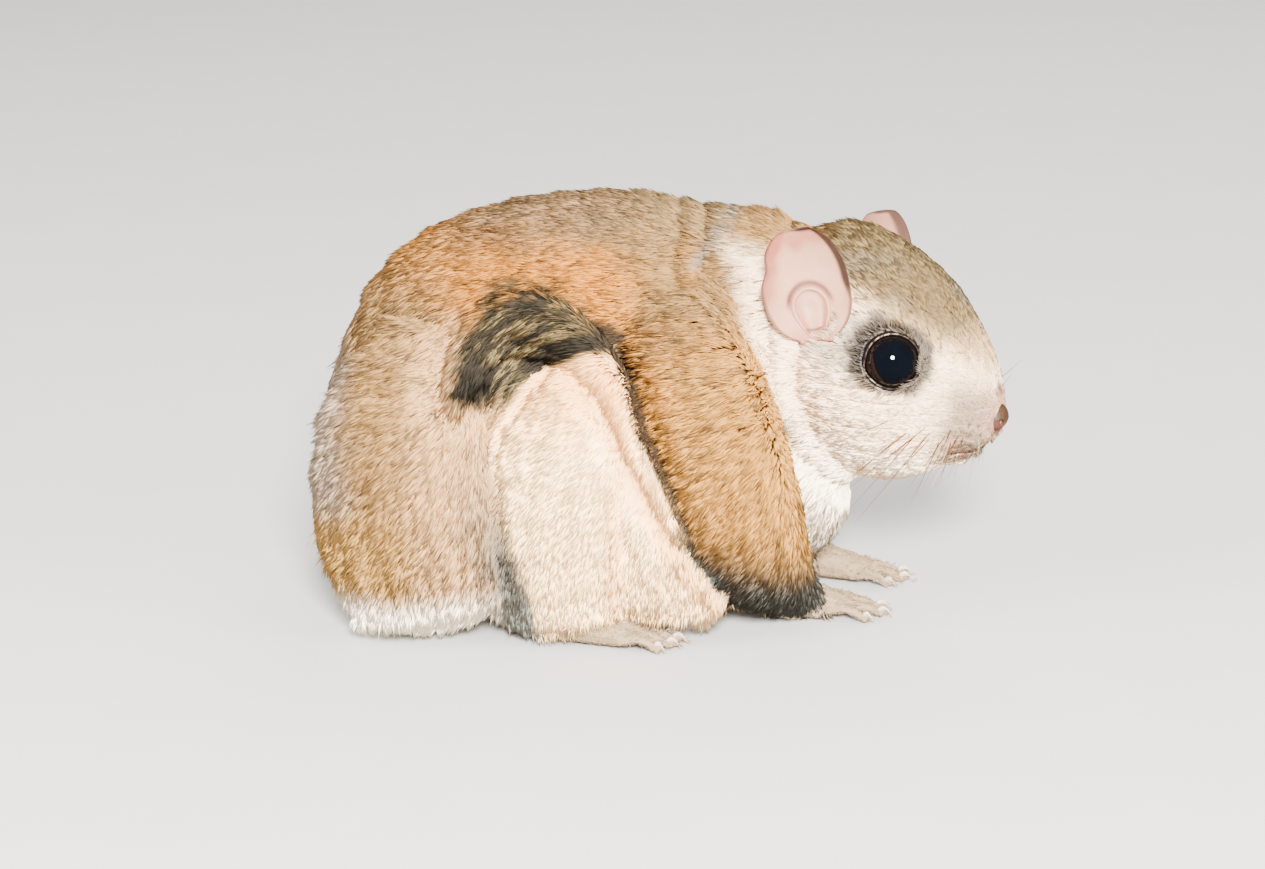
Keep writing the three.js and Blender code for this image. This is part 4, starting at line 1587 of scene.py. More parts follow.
    def _unwrap(self, whole: bpy.types.Object) -> tuple[Array, Array]:
        """Unwraps the skin's own shape, for the coat's patches.

        Args:
            whole: the skin, all of triangles.

        Returns:
            The triangles, and the unwrap's places at their corners.
        """
        with editing(whole):
            bpy.ops.uv.smart_project(angle_limit=math.radians(66), island_margin=0.002)
        mesh = whole.data
        corners = read(mesh.uv_layers.active.data, "uv", 2)
        numbers = read(mesh.loops, "vertex_index", 1, np.int32)
        mesh.uv_layers.remove(mesh.uv_layers.active)
        return numbers.reshape(-1, 3), corners.reshape(-1, 3, 2)


# Coat

TUFT_FACES = np.array([[0, 1, 2], [1, 3, 2], [0, 3, 1], [0, 2, 3]])
TUFT_PATCH = np.array([[0, -0.5], [-0.5, 0], [0.5, 0], [0, 0.5]])
PATCH = 0.003


@dataclass
class Coat:
    """The tufts of the coat, sown over a pelt and laid along it."""

    pelt: Pelt
    seed: int = SEED
    clump: float = 2.4
    clump_pull: float = 0.22
    wander: float = 0.09
    near: float = 0.35
    far: float = 0.85

    def sow(self, density: Array) -> tuple[Array, Array]:
        """Chooses the tufts' roots.

        Args:
            density: the tufts on each square millimetre, at each vertex.

        Returns:
            The triangle that each root is on, and its shares of the three corners.
        """
        dice = np.random.default_rng(self.seed)
        a, b, c = (self.pelt.points[self.pelt.triangles[:, k]] for k in range(3))
        area = 0.5 * np.linalg.norm(np.cross(b - a, c - a), axis=1)
        expected = area * density[self.pelt.triangles].mean(axis=1)
        whole = np.floor(expected + dice.random(len(expected))).astype(int)
        triangle = np.repeat(np.arange(len(whole)), whole)
        u, v = dice.random((2, len(triangle)))
        over = u + v > 1
        u, v = np.where(over, 1 - u, u), np.where(over, 1 - v, v)
        return triangle, np.stack([1 - u - v, u, v], axis=1)

    def at(self, values: Array, triangle: Array, shares: Array) -> Array:
        """Values at the roots, from those at the pelt's vertices."""
        corners = values[self.pelt.triangles[triangle]]
        return np.einsum("ij,ij...->i...", shares, corners)

    def grow(self, names: Callable[[Array, Share], Array]) -> dict[str, tuple[Array, ...]]:
        """Grows every tuft and sorts them into pieces.

        Args:
            names: gives the piece's name at each root.

        Returns:
            Points, colours and patches of the tufts of each piece.
        """
        pelt = self.pelt
        sizes = LIE.sizes(pelt.points, pelt.share)
        triangle, shares = self.sow(sizes["density"])
        dice = np.random.default_rng(self.seed + 1)
        root = self.at(pelt.points, triangle, shares)
        normal = unit(self.at(pelt.normals, triangle, shares))
        weights = self.at(pelt.weights, triangle, shares)
        share = lambda region: weights[:, region.value]
        measures = (sizes["length"], sizes["breadth"], sizes["depth"])
        length, breadth, depth = (self.at(measure, triangle, shares) for measure in measures)
        count = len(root)
        length = length * dice.uniform(0.7, 1.15, count)
        depth = depth * dice.uniform(0.55, 1.1, count)
        breadth = breadth * dice.uniform(0.7, 1.3, count)
        lie = self.at(pelt.lie, triangle, shares)
        flat = np.linalg.norm(lie - normal * (lie * normal).sum(axis=1, keepdims=True), axis=1)
        length = length * (0.3 + 0.7 * np.maximum(smooth(0.2, 0.7, flat), share(Region.TAIL)))
        way = self._ways(root, normal, lie, share, length, dice)
        reach = HEAD.own(root + way * (0.8 * length)[:, None])
        over_ear = np.maximum(EAR.covers(reach, Side.RIGHT), EAR.covers(reach, Side.LEFT))
        length = length * (1 - 0.65 * over_ear)
        points = self._shapes(root, normal, way, share, length, breadth, depth)
        colours = self._colours(root, way, share, length, dice)
        patches = self._patches(triangle, shares)
        pieces = names(root, share)
        return {
            name: (points[pieces == name], colours[pieces == name], patches[pieces == name])
            for name in sorted(set(pieces))
        }

    def _ways(
        self,
        root: Array,
        normal: Array,
        way: Array,
        share: Share,
        length: Array,
        dice: np.random.Generator,
    ) -> Array:
        """The way each tuft lies along the skin.

        Args:
            root: the tufts' roots.
            normal: the skin's normals there.
            way: the lie of the coat there.
            share: how much each root belongs to a region.
            length: the tufts' lengths.
            dice: the seeded draw.

        Returns:
            A direction a tuft.
        """
        loose = share(Region.TAIL) * smooth(0.3, 0.8, share(Region.TAIL))
        along = unit(way - normal * (way * normal).sum(axis=1, keepdims=True))
        across = np.cross(normal, along)
        angle = 0.16 * cloud(root, 4.5, 21) + 0.14 * cloud(root, 1.6, 22)
        angle = angle + self.wander * dice.normal(size=len(root))
        angle = angle * (1 - 0.45 * share(Region.DRAPE))
        cell = np.floor(root / self.clump)
        jitter = np.stack([hashed(cell, seed) for seed in (31, 32, 33)], axis=1)
        pull = (cell + 0.2 + 0.6 * jitter) * self.clump - root
        pull = pull - normal * (pull * normal).sum(axis=1, keepdims=True)
        laid = unit(along * np.cos(angle)[:, None] + across * np.sin(angle)[:, None])
        gather = self.clump_pull * (1 - 0.9 * share(Region.DRAPE)) * 3.0 / np.maximum(length, 1.0)
        laid = unit(laid + pull * gather[:, None])
        free = unit(way + 0.16 * dice.normal(size=way.shape))
        return unit(blend(laid, free, loose))

    def _shapes(
        self,
        root: Array,
        normal: Array,
        way: Array,
        share: Share,
        length: Array,
        breadth: Array,
        depth: Array,
    ) -> Array:
        """The four points of each tuft: its root, one at each side of its middle and its tip.

        Args:
            root: the tufts' roots.
            normal: the skin's normals there.
            way: the tufts' ways.
            share: how much each root belongs to a region.
            length: the tufts' lengths.
            breadth: the tufts' breadths.
            depth: how high the tips stand over the skin.

        Returns:
            The points, as an array of tufts, points and coordinates.
        """
        across = unit(np.cross(normal, way))
        height = depth * (1 - smooth(0.3, 0.8, share(Region.TAIL)))
        bow = across * (0.16 * length * (hashed(np.floor(root * 7), 42) - 0.5))[:, None]
        middle = root + way * (0.42 * length)[:, None] + normal * (0.8 * height)[:, None] + bow
        tip = root + way * (0.98 * length)[:, None] + normal * height[:, None]
        side = across * (0.5 * breadth)[:, None]
        points = np.stack([root - normal * 0.2, middle - side, middle + side, tip], axis=1)
        floor = 0.1 + 0.3 * hashed(np.floor(root * 5), 41)
        points[:, :, 2] = np.maximum(points[:, :, 2], floor[:, None])
        points[:, 1:3, 2] += 0.1 * (points[:, 1:3, 2] <= floor[:, None] + 1e-6)
        return points

    def _colours(
        self, root: Array, way: Array, share: Share, length: Array, dice: np.random.Generator
    ) -> Array:
        """The colour at each point of each tuft.

        Args:
            root: the tufts' roots.
            way: the tufts' ways.
            share: how much each root belongs to a region.
            length: the tufts' lengths.
            dice: the seeded draw.

        Returns:
            The colours, as an array of tufts, points and channels.
        """
        calm = 0.12 - 0.09 * share(Region.DRAPE) - 0.05 * share(Region.HEAD)
        tone = 1.0 + calm * dice.normal(size=len(root)) + 0.06 * cloud(root, 3.0, 51)
        tone = np.clip(tone, 0.6, 1.35)[:, None]
        near = MARKINGS.colours(root + way * (self.near * length)[:, None], share) * tone
        far_spot = root + way * (self.far * length)[:, None]
        far = MARKINGS.colours(far_spot, share) * tone
        dark = dice.random(len(root)) < MARKINGS.flecks(far_spot, share)
        base = MARKINGS.over(near, "slate", 0.12 * smooth(1.5, 4.0, length))
        middle = MARKINGS.over(near, "dark", np.where(dark, 0.5, 0.0))
        tip = MARKINGS.over(far, "dark", np.where(dark, 0.85, 0.0))
        return np.stack([base, middle, middle, tip], axis=1)

    def _patches(self, triangle: Array, shares: Array) -> Array:
        """The small patch of each tuft on the skin's unwrap, at its root.

        Args:
            triangle: the triangle that each root is on.
            shares: its shares of the three corners.

        Returns:
            The places, as an array of tufts, points and two coordinates.
        """
        centre = np.einsum("ij,ijk->ik", shares, self.pelt.unwrap[triangle])
        return np.clip(centre[:, None] + TUFT_PATCH[None] * PATCH, 0.0, 1.0)


def coat_piece(
    name: str, points: Array, colours: Array, patches: Array, material: bpy.types.Material
) -> bpy.types.Object:
    """Makes one piece of the coat.

    Args:
        name: the piece's name.
        points: the points of its tufts.
        colours: the colours of those points.
        patches: their places on the unwrap.
        material: its finish.

    Returns:
        The piece.
    """
    count = len(points)
    faces = (TUFT_FACES[None] + len(TUFT_PATCH) * np.arange(count)[:, None, None]).reshape(-1, 3)
    piece = make_mesh(name, points.reshape(-1, 3), faces)
    paint(piece, "coat_colour", colours.reshape(-1, 3))
    layer = piece.data.uv_layers.new(name="OFBake")
    layer.data.foreach_set("uv", patches.reshape(-1, 2)[faces.ravel()].astype(np.float32).ravel())
    piece.data.materials.append(material)
    return piece


def coat_names(root: Array, share: Share) -> Array:
    """The name of the piece of the coat that each tuft belongs to.

    Args:
        root: the tufts' roots.
        share: how much each root belongs to a region.

    Returns:
        One name a tuft.
    """
    regions = np.argmax(np.stack([share(region) for region in Region], axis=1), axis=1)
    words = {
        Region.TORSO: "back",
        Region.NECK: "neck",
        Region.HEAD: "face",
        Region.SLEEVE: "sleeve",
        Region.HAUNCH: "haunch",
        Region.DRAPE: "membrane",
        Region.HAND: "hands",
        Region.FOOT: "hands",
        Region.TAIL: "tail",
    }
    parts = np.array([words[region] for region in Region])[regions]
    side = np.where(root[:, 1] < 0, "right", "left")
    inner = HEAD.own(root)
    side = np.where(parts == "face", np.where(inner[:, 1] < 0, "right", "left"), side)
    whole = np.isin(parts, ["hands", "tail"])
    names = np.char.add(np.char.add("coat_", parts), np.where(whole, "", np.char.add("_", side)))
    rear = (parts == "back") & (root[:, 0] < -28)
    return np.where(rear, np.char.add("coat_rump_", side), names)


# Eyes


@dataclass
class Eye:
    """One eye: the wet ball and the lids round it."""

    side: Side
    opening: float = 4.58
    steps: int = 96
    cornea: float = 0.02
    lid_tone: Tone = (17, 14, 14)
    # pale lid margin with painted glints
    bead_glint_tone: Tone = (190, 158, 130)
    bead_row: int = 4

    def _frame(self) -> tuple[Array, Array, Array, Array]:
        """Where the eye is.

        Returns:
            Its centre, the way it looks, and the ways forward and up across it.
        """
        axis = EYE.outward(self.side)
        up = unit(np.array([0, 0, 1.0]) - axis * axis[2])
        forward = unit(np.cross(up, axis)) * (1 if self.side is Side.LEFT else -1)
        return EYE.middle(self.side), axis, forward, up

    def ball(self) -> bpy.types.Object:
        """Makes the eyeball, with the cornea a little raised.

        Returns:
            The eyeball.
        """
        centre, axis, forward, up = self._frame()
        bpy.ops.object.select_all(action="DESELECT")
        bpy.ops.mesh.primitive_uv_sphere_add(segments=64, ring_count=40, radius=1.0)
        ball = bpy.context.object
        ball.name = f"eyeball_{self.side.word}"
        points = read(ball.data.vertices, "co", 3).astype(float)
        bulge = 1.0 + self.cornea * smooth(0.55, 1.0, points[:, 2])
        local = points * bulge[:, None] * EYE.radius
        across, rise, out = local[:, :1], local[:, 1:2], local[:, 2:]
        turned = across * forward + rise * up * (1 if self.side is Side.LEFT else -1) + out * axis
        write_points(ball.data, HEAD.placed(centre + turned))
        paint(ball, "coat_colour", blend(linear(9, 6, 5), linear(4, 5, 8), smooth(0.6, 0.85, points[:, 2])))
        ball.data.materials.append(EyeFinish().material())
        bpy.ops.object.shade_smooth()
        return place(ball, Slot.EYE, f"eye_{self.side.word}")

    def lids(self) -> bpy.types.Object:
        """Makes the ring of the lids, with a corner in front and one behind.

        Returns:
            The lids.
        """
        centre, axis, forward, up = self._frame()
        turn = np.linspace(0, 2 * np.pi, self.steps, endpoint=False)
        beside = lambda turns, place, width: np.exp(-((np.angle(np.exp(1j * (turns + place)))) / width) ** 2)
        radius = self.opening + (0.3 * beside(turn, 0.55, 0.3) + 0.14 * beside(turn, 0.1 - np.pi, 0.4))
        ball_height = lambda reach: np.sqrt(np.maximum((EYE.radius * 1.012) ** 2 - reach**2, 0.0))
        rows = [
            (radius + 0.75, ball_height(radius + 0.75) - 1.2 + 0 * radius),
            (radius + 0.05, ball_height(radius) - 0.25),
            (radius, ball_height(radius) + 0.08),
            (radius + 0.08, ball_height(radius) + 0.2),
            (radius + 0.26, ball_height(radius) + 0.26),
            (radius + 0.4, ball_height(radius) + 0.08),
            (radius + 0.6, ball_height(radius) - 0.4),
            (radius + 1.3, ball_height(radius) - 1.3),
            (radius + 2.5, ball_height(radius) - 2.3),
            (radius + 3.0, ball_height(radius) - 3.3),
            (radius + 1.9, ball_height(radius) - 3.7),
        ]
        rings = []
        for reach, height in rows:
            circle = (forward * np.cos(turn)[:, None] + up * np.sin(turn)[:, None]) * reach[:, None]
            rings.append(centre + circle + axis * height[:, None])
        grid = np.stack(rings, axis=0)
        points = HEAD.placed(grid.reshape(-1, 3))
        count, sides = grid.shape[:2]
        bands = [band(row * sides, ((row + 1) % count) * sides, sides) for row in range(count)]
        faces = np.concatenate([part for pair in bands for part in pair])
        lids = make_mesh(f"lids_{self.side.word}", points, facing_out(points, faces))
        row_number = np.repeat(np.arange(count), sides)
        turns = np.tile(turn, count)
        beads = 0.5 + 0.5 * np.sin(turns * 31) * np.sin(turns * 13 + 1.0)
        # The pale beads on the lid's margin are pale skin and painted glints, brightest at two places where
        # the light catches them.
        painted_glint = np.maximum(0.08 + 0.92 * beside(turns, -1.0, 0.55), 0.9 * beside(turns, 0.9, 0.4))
        pale = (row_number == self.bead_row) * painted_glint * smooth(0.25, 0.75, beads)
        plain = np.repeat(linear(*self.lid_tone)[None], len(points), axis=0)
        paint(lids, "coat_colour", blend(plain, linear(*self.bead_glint_tone), 0.8 * pale))
        finish = BareFinish(f"lid_skin_{self.side.word}", roughness=0.9, shine=0.03)
        lids.data.materials.append(finish.material())
        return place(lids, Slot.BARE)


# Ears


@dataclass
class Ear:
    """One thin, upright ear: an open cup with a rolled rim and a fold at its foot."""

    side: Side
    cup: float = 3.6
    wall: float = 0.55
    across_steps: int = 72
    up_steps: int = 80
    pink: Tone = (166, 122, 98)
    deep: Tone = (138, 78, 62)
    red: Tone = (76, 18, 12)
    rim: Tone = (20, 11, 8)
    back: Tone = (140, 98, 78)

    def _surface(self, u: Array, v: Array) -> tuple[Array, Array, Array]:
        """The middle of the ear's wall.

        Args:
            u: from -1 at the rear edge to 1 at the front edge.
            v: from 0 at the foot to 1 at the top.

        Returns:
            How far across, out and up each place is.
        """
        swell = np.maximum(1 - np.abs((v - 0.52) / 0.52) ** 2.5, 0.0) ** 0.44
        foot = 0.42 * smooth(0.45, 0.0, v)
        half = EAR.half_width * np.maximum(swell * (1 - 0.1 * smooth(0.5, 1, v)), foot)
        flare = 1.8 * smooth(-0.1, 0.8, u) * smooth(0.6, 0.25, v)
        across = u * half + 0.9 * smooth(0.2, 1.0, -u) * np.exp(-(((v - 0.72) / 0.1) ** 2))
        rise = v * EAR.height - 0.6
        bowl = self.cup * (smooth(-0.08, 0.3, v) * smooth(1.25, 0.55, v))
        out = -bowl * (1 - np.abs(u) ** 2.2) + 0.9 * smooth(0.8, 1.0, np.abs(u)) * smooth(0, 0.3, v)
        fold = np.exp(-(((self._round_fold(u, v) - 1.0) / 0.13) ** 2)) * smooth(0.0, 0.14, v)
        lobe = smooth(1.0, 0.3, self._round_fold(u, v)) * smooth(0.0, 0.14, v)
        return across, out + 1.25 * fold + 0.75 * lobe + flare, rise

    def _round_fold(self, u: Array, v: Array) -> Array:
        """How far out each place is from the middle of the fold's arch, with 1 on its crest."""
        narrow = 0.42 - 0.14 * smooth(0.24, 0.0, v)
        return np.where(v > 0.26, np.hypot((u - 0.04) / 0.42, (v - 0.26) / 0.17), np.abs(u - 0.04) / narrow)

    def build(self) -> bpy.types.Object:
        """Makes the ear, with its inside, its back and its rim.

        Returns:
            The ear.
        """
        across_way, out_way, up_way = EAR.axes(self.side)
        over, along = np.linspace(-1, 1, self.across_steps), np.linspace(0, 1, self.up_steps)
        u, v = np.meshgrid(over, along, indexing="ij")
        across, out, rise = self._surface(u, v)
        across = across * self.side.value
        root = EAR.foot(self.side)
        sheet_way = lambda sizes, way: sizes[..., None] * way
        lay = lambda o: root + sheet_way(across, across_way) + sheet_way(o, out_way) + sheet_way(rise, up_way)
        edge = np.minimum(smooth(1.0, 0.8, np.abs(u)), smooth(1.0, 0.85, v))
        half_wall = self.wall * (0.32 + 0.68 * edge) * (1 + 1.2 * smooth(0.3, 0.0, v))
        inside, outside = lay(out + 0.5 * half_wall), lay(out - 0.5 * half_wall)
        size = inside.shape[0] * inside.shape[1]
        points = HEAD.placed(np.concatenate([inside.reshape(-1, 3), outside.reshape(-1, 3)]))
        index = np.arange(size).reshape(inside.shape[:2])
        faces = []
        for sheet, flip in ((index, False), (index + size, True)):
            a, b, c, d = sheet[:-1, :-1], sheet[1:, :-1], sheet[1:, 1:], sheet[:-1, 1:]
            quads = np.stack([a, b, c, a, c, d], axis=-1).reshape(-1, 3)
            faces.append(quads[:, ::-1] if flip else quads)
        loop = np.concatenate([index[:, 0], index[-1, 1:], index[-2::-1, -1], index[0, -2:0:-1]])
        following = np.roll(loop, -1)
        faces.append(np.stack([loop, loop + size, following + size], axis=1))
        faces.append(np.stack([loop, following + size, following], axis=1))
        ear = make_mesh(f"ear_skin_{self.side.word}", points, facing_out(points, np.concatenate(faces)))
        paint(ear, "coat_colour", self._colours(u, v))
        ear.data.materials.append(BareFinish(f"ear_skin_{self.side.word}", glow=0.25).material())
        return place(ear, Slot.BARE, f"ear_{self.side.word}")

    def _colours(self, u: Array, v: Array) -> Array:
        """The ear's colours: pink inside, a thin dark rim and a tan back.

        Args:
            u: the places across, from -1 to 1.
            v: the places up, from 0 to 1.

        Returns:
            One linear colour a vertex, the inside first.
        """
        u, v = u.ravel(), v.ravel()
        tones = (self.pink, self.deep, self.red, self.rim, self.back)
        pink, deep, red, rim, back = (linear(*tone) for tone in tones)
        inside = np.repeat(pink[None], len(u), axis=0)
        patchy = 0.5 * cloud(np.stack([u * 3, v * 6, 0 * u], axis=1), 1.0, 71)
        rear = smooth(-0.35, -0.8, u + 0.2 * patchy) * smooth(0.3, 0.5, v)
        flush = smooth(0.74, 0.9, v + 0.1 * patchy) + rear
        inside = blend(inside, deep, np.clip(0.75 * flush + 0.12 * patchy, 0, 1))
        arch = self._round_fold(u, v)
        inside = blend(inside, red, 0.95 * np.exp(-(((arch - 1.24) / 0.13) ** 2)) * smooth(0.24, 0.36, v))
        inside = blend(inside, deep, 0.8 * np.exp(-(((arch - 0.75) / 0.16) ** 2)) * smooth(0.5, 0.1, v))
        inside = blend(inside, deep, 0.7 * smooth(0.16, 0.02, v))
        across, _, rise = self._surface(u, v)
        edge, _, _ = self._surface(np.sign(u), v)
        gap = np.minimum(np.abs(edge - across), 1.6 * (EAR.height - 0.6 - rise))
        front = smooth(-0.3, 0.4, u) * smooth(0.3, 0.5, v)
        dark = smooth(0.6 + 1.0 * front, 0.25 + 0.55 * front, gap) * (0.7 + 0.3 * front)
        inside = blend(inside, rim, np.clip(dark, 0, 0.95))
        outside = blend(np.repeat(back[None], len(u), axis=0), rim, np.clip(0.8 * dark, 0, 1))
        return np.concatenate([inside, outside])


# Nose, claws and whiskers


@dataclass
class Nose:
    """The bare pad of the nose, with its two curved nostrils and the groove under them."""

    fineness: int = 6
    lower: Tone = (86, 48, 40)
    upper: Tone = (56, 39, 27)
    # painted shade inside the nostril slits
    nostril_shade: Tone = (40, 12, 9)
    crack: Tone = (74, 20, 14)

    def build(self) -> bpy.types.Object:
        """Makes the nose.

        Returns:
            The nose.
        """
        bpy.ops.object.select_all(action="DESELECT")
        bpy.ops.mesh.primitive_ico_sphere_add(subdivisions=self.fineness, radius=1.0)
        nose = bpy.context.object
        nose.name = "nose"
        ball = read(nose.data.vertices, "co", 3).astype(float)
        x, y, z = ball.T
        wing = np.exp(-(((np.abs(y) - 0.62) / 0.28) ** 2 + ((z + 0.12) / 0.4) ** 2))
        slit = ((np.abs(y) - 0.52 - 0.35 * (z + 0.2)) / 0.13) ** 2 + ((z + 0.18) / 0.2) ** 2
        slit = np.exp(-slit) * smooth(0.2, 0.5, x)
        groove = np.exp(-((y / 0.07) ** 2)) * smooth(0.25, -0.1, z) * smooth(0.1, 0.5, x)
        pebble = cloud(ball * 3.0, 0.24, 61) * smooth(0.1, 0.6, x)
        reach = 1.0 + 0.1 * wing - 0.34 * slit - 0.08 * groove + 0.012 * pebble
        points = ball * reach[:, None] * np.array(MUZZLE.pad_radii) + np.array(MUZZLE.pad)
        write_points(nose.data, HEAD.placed(points))
        colour = np.repeat(linear(*self.lower)[None], len(ball), axis=0)
        colour = blend(colour, linear(*self.upper), smooth(-0.45, 0.0, z + 0.15 * pebble))
        # Painted shade: the nostril slits are painted near-black inside.
        colour = blend(colour, linear(*self.nostril_shade), np.clip(1.3 * slit, 0, 1))
        groove = np.clip(0.8 * groove + smooth(-0.72, -0.9, z), 0, 1)
        paint(nose, "coat_colour", blend(colour, linear(*self.crack), groove))
        finish = BareFinish("nose_skin", roughness=0.4, grain=0.22, depth=0.08, glow=0.3)
        nose.data.materials.append(finish.material())
        bpy.ops.object.shade_smooth()
        return place(nose, Slot.BARE)


@dataclass
class Paw:
    """The claws of one hand or foot, on toes that fan from the middle line."""

    name: str
    side: Side
    count: int
    root: Place
    spread: float
    fan: float
    length: float
    thickness: float
    claw: float
    claw_reach: tuple[float, float] = (0.93, 1.3)
    narrowness: float = 0.62
    steps: int = 9
    sides: int = 8

    def build(self) -> tuple[Array, Array]:
        """Works out the claws.

        Returns:
            The points and triangles of all the claws of this paw.
        """
        claws = []
        for i in range(self.count):
            where = i / (self.count - 1) - 0.5
            angle = math.radians(self.fan * where * 2)
            reach = self.length * (1 - 1.1 * where * where)
            start = np.array([self.root[0] - 2.2 * abs(where), self.root[1] + self.spread * where])
            way = np.array([math.cos(angle), math.sin(angle)])
            turn = np.linspace(0, 2 * np.pi, self.sides, endpoint=False)
            side_way = np.array([-way[1], way[0], 0.0])
            rings = []
            for t, share in zip(np.linspace(0, 1, self.steps), np.linspace(*self.claw_reach, self.steps)):
                arch = 1.05 + 0.55 * math.sin(math.pi * min(t * 1.15, 1.0)) - 0.75 * t * t
                size = self.claw * 0.4 * (1 - t) ** 0.75 + 0.03
                spot = start + way * reach * share
                rings.append(
                    np.array([spot[0], spot[1], max(self.thickness * arch, size * 0.9 + 0.05)])
                    + side_way * (np.cos(turn) * size * self.narrowness)[:, None]
                    + np.array([0, 0, 1.0]) * (np.sin(turn) * size)[:, None]
                )
            claws.append(tube_mesh(np.array(rings)))
        points, faces = gathered(claws)
        return points * self.side.mirror, faces if self.side is Side.LEFT else faces[:, ::-1]


@dataclass
class Claws:
    """All the claws, one piece for each paw."""

    lead: float = 5.5

    def build(self) -> list[bpy.types.Object]:
        """Makes the claws.

        Returns:
            One piece for each paw.
        """
        material = ClawFinish().material()
        pieces = []
        for side in Side:
            lead = self.lead if side is Side.LEFT else 0.0
            hand = Paw(
                "hand", side, count=4, root=(32.8 + lead, 10.2, 2.0), spread=6.4, fan=16,
                length=8.6, thickness=1.35, claw=1.5,
            )
            foot = Paw(
                "foot", side, count=5, root=(-4.5, 26.6, 2.1), spread=7.8, fan=12,
                length=8.0, thickness=1.4, claw=1.6,
            )
            for paw in (hand, foot):
                piece = make_mesh(f"claws_{paw.name}_{side.word}", *paw.build())
                piece.data.materials.append(material)
                pieces.append(place(piece, Slot.BARE))
        return pieces


@dataclass
class Whiskers:
    """The whiskers of both sides, in four rows on each lip pad."""

    rows: int = 4
    per_row: int = 5
    length: float = 24.0
    radius: float = 0.12
    steps: int = 10
    droop: Place = (-0.35, -0.15, -0.5)
    brown: Tone = (82, 44, 22)
    pale: Tone = (150, 120, 100)

    def _one(self, start: Array, way: Array, droop: Array, length: float) -> tuple[Array, Array]:
        """One tapered whisker.

        Args:
            start: its root.
            way: the way it sets out.
            droop: the way it bends.
            length: its length.

        Returns:
            Its points and triangles.
        """
        shares = np.linspace(0, 1, self.steps)
        middle = start + way * (shares * length)[:, None] + droop * (shares**2 * length * 0.3)[:, None]
        along = unit(np.gradient(middle, axis=0))
        first = unit(np.cross(along, np.array([0.3, 0.2, 1.0])))
        second = np.cross(along, first)
        turn = np.linspace(0, 2 * np.pi, 5, endpoint=False)
        size = self.radius * (1 - 0.88 * shares)
        rings = middle[:, None] + size[:, None, None] * (
            first[:, None] * np.cos(turn)[None, :, None] + second[:, None] * np.sin(turn)[None, :, None]
        )
        return tube_mesh(rings)

    def build(self) -> list[bpy.types.Object]:
        """Makes the whiskers.

        Returns:
            One piece for each side.
        """
        dice = np.random.default_rng(SEED + 9)
        pieces = []
        for side in Side:
            hairs, colours = [], []
            for row in range(self.rows):
                for column in range(self.per_row):
                    back = column / (self.per_row - 1)
                    start = np.array([12.6 - 5.3 * back, 5.2 + 5.2 * back, -7.2 - 1.1 * row + 0.3 * column])
                    way = np.array([0.1 - 0.75 * back + 0.08 * row, 0.55, -0.62 - 0.08 * row])
                    if side is Side.LEFT and row == 0 and column < 3:
                        way = np.array([0.25, 0.55, 0.75])
                    way = unit(way + 0.1 * dice.normal(size=3))
                    length = self.length * (0.42 + 0.5 * back) * dice.uniform(0.75, 1.1)
                    start, way = start * side.mirror, way * side.mirror
                    hair, triangles = self._one(start, way, np.array(self.droop), length)
                    hairs.append((HEAD.placed(hair), triangles))
                    tone = linear(*(self.brown if dice.random() < 0.75 else self.pale))
                    colours.append(np.repeat(tone[None], len(hair), axis=0))
            whiskers = make_mesh(f"whiskers_{side.word}", *gathered(hairs))
            paint(whiskers, "coat_colour", np.concatenate(colours))
            finish = FurFinish(f"whisker_hair_{side.word}", roughness=0.4)
            whiskers.data.materials.append(finish.material())
            pieces.append(place(whiskers, Slot.FACE))
        return pieces


# Studio


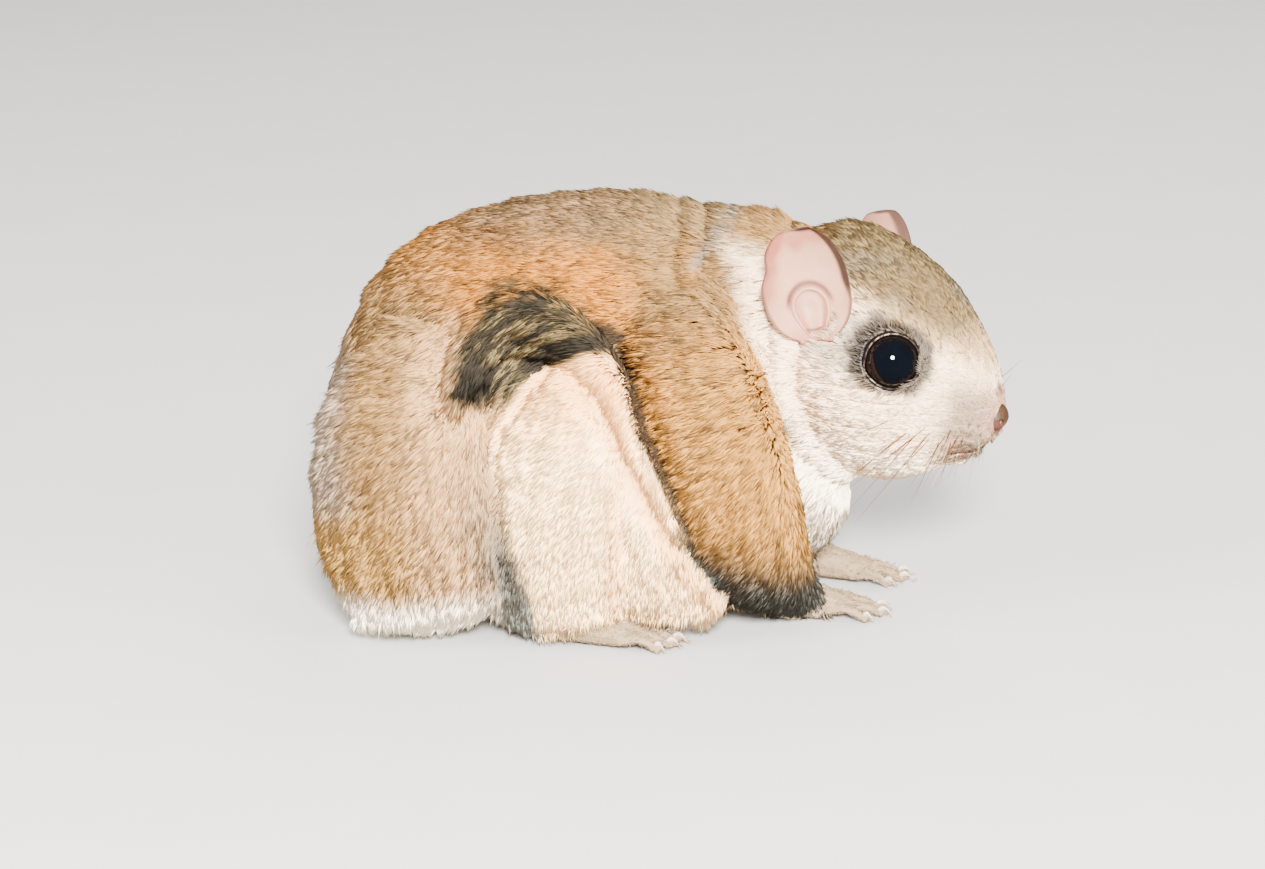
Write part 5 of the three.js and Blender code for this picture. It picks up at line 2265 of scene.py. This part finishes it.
@dataclass(frozen=True)
class Studio:
    """A plain pale floor, soft light and the camera at the photograph's angle."""

    target: Place = (-4.1, 0.0, 31.2)
    elevation: float = 15.6
    distance: float = 600.0
    focal_pixels: float = 3300.0
    image_width: float = 1265.0
    sensor: float = 36.0
    floor_size: float = 6.0
    surround: tuple[float, float, float, float] = (0.9, 0.92, 0.95, 1.0)
    surround_strength: float = 1.25

    def floor(self) -> None:
        """Lays the floor."""
        bpy.ops.object.select_all(action="DESELECT")
        bpy.ops.mesh.primitive_plane_add(size=self.floor_size)
        floor = bpy.context.object
        floor.name = "floor"
        floor.data.materials.append(FloorFinish().material())
        floor.visible_glossy = False

    def camera(self) -> None:
        """Places the camera."""
        tilt = math.radians(self.elevation)
        back = Vector((0.0, -math.cos(tilt), math.sin(tilt)))
        lens = bpy.data.cameras.new("camera")
        lens.sensor_width = self.sensor
        lens.lens = self.focal_pixels / self.image_width * self.sensor
        lens.clip_start = 0.01
        camera = bpy.data.objects.new("camera", lens)
        bpy.context.scene.collection.objects.link(camera)
        camera.location = Vector(self.target) * MM + back * self.distance * MM
        camera.rotation_mode = "QUATERNION"
        camera.rotation_quaternion = (-back).to_track_quat("-Z", "Y")
        bpy.context.scene.camera = camera

    def lamp(self, name: str, place_at: Place, size: float, power: float) -> None:
        """Hangs one soft lamp that shines on the animal.

        Args:
            name: the lamp's name; only the key light shows in what shines.
            place_at: where it hangs, in metres.
            size: its breadth in metres.
            power: its power in watts.
        """
        light = bpy.data.lights.new(name, "AREA")
        light.shape = "DISK"
        light.size = size
        light.energy = power
        lamp = bpy.data.objects.new(name, light)
        bpy.context.scene.collection.objects.link(lamp)
        lamp.location = place_at
        way = Vector(self.target) * MM - Vector(place_at)
        lamp.rotation_mode = "QUATERNION"
        lamp.rotation_quaternion = way.to_track_quat("-Z", "Y")
        lamp.visible_glossy = name == "key"

    def build(self) -> None:
        """Sets up the floor, the lamps, the soft surround and the camera."""
        self.floor()
        self.lamp("key", (0.05, -0.86, 0.44), 0.19, 72.0)
        self.lamp("fill", (-0.75, -0.45, 0.5), 0.6, 16.0)
        self.lamp("front", (0.75, -0.5, 0.2), 0.5, 20.0)
        self.lamp("rim", (0.2, 0.7, 0.8), 0.6, 10.0)
        world = bpy.data.worlds.new("surround")
        world.use_nodes = True
        light = world.node_tree.nodes["Background"].inputs
        light["Color"].default_value = self.surround
        light["Strength"].default_value = self.surround_strength
        world.cycles_visibility.glossy = False
        bpy.context.scene.world = world
        self.camera()


def dress_coat(pelt: Pelt) -> None:
    """Grows the coat over the skin and makes its pieces.

    Args:
        pelt: the skin's pelt.
    """
    slots = {"face": Slot.FACE, "membrane": Slot.BELLY, "hands": Slot.BARE}
    materials = {word: FurFinish(f"fur_{word}").material() for word in ("back", "face", "membrane", "hands")}
    total = 0
    for name, (points, colours, patches) in Coat(pelt).grow(coat_names).items():
        word = name.split("_")[1]
        piece = coat_piece(name, points, colours, patches, materials.get(word, materials["back"]))
        place(piece, slots.get(word, Slot.BACK))
        total += len(points) * len(TUFT_FACES)
        LOG.info("%s: %d tufts, %d triangles", name, len(points), len(points) * len(TUFT_FACES))
    LOG.info("coat: %d triangles", total)


def main() -> None:
    """Builds every piece in order."""
    logging.basicConfig(level=logging.INFO, format="%(name)s: %(message)s")
    Studio().build()
    skin, pelt = Skin().build()
    LOG.info("skin: %d triangles", len(skin.data.polygons))
    dress_coat(pelt)
    for side in Side:
        eye = Eye(side)
        LOG.info("%s, %s", eye.ball().name, eye.lids().name)
        LOG.info("%s", Ear(side).build().name)
    LOG.info("%s", Nose().build().name)
    for piece in (*Claws().build(), *Whiskers().build()):
        LOG.info("%s", piece.name)


if __name__ == "__main__":
    main()
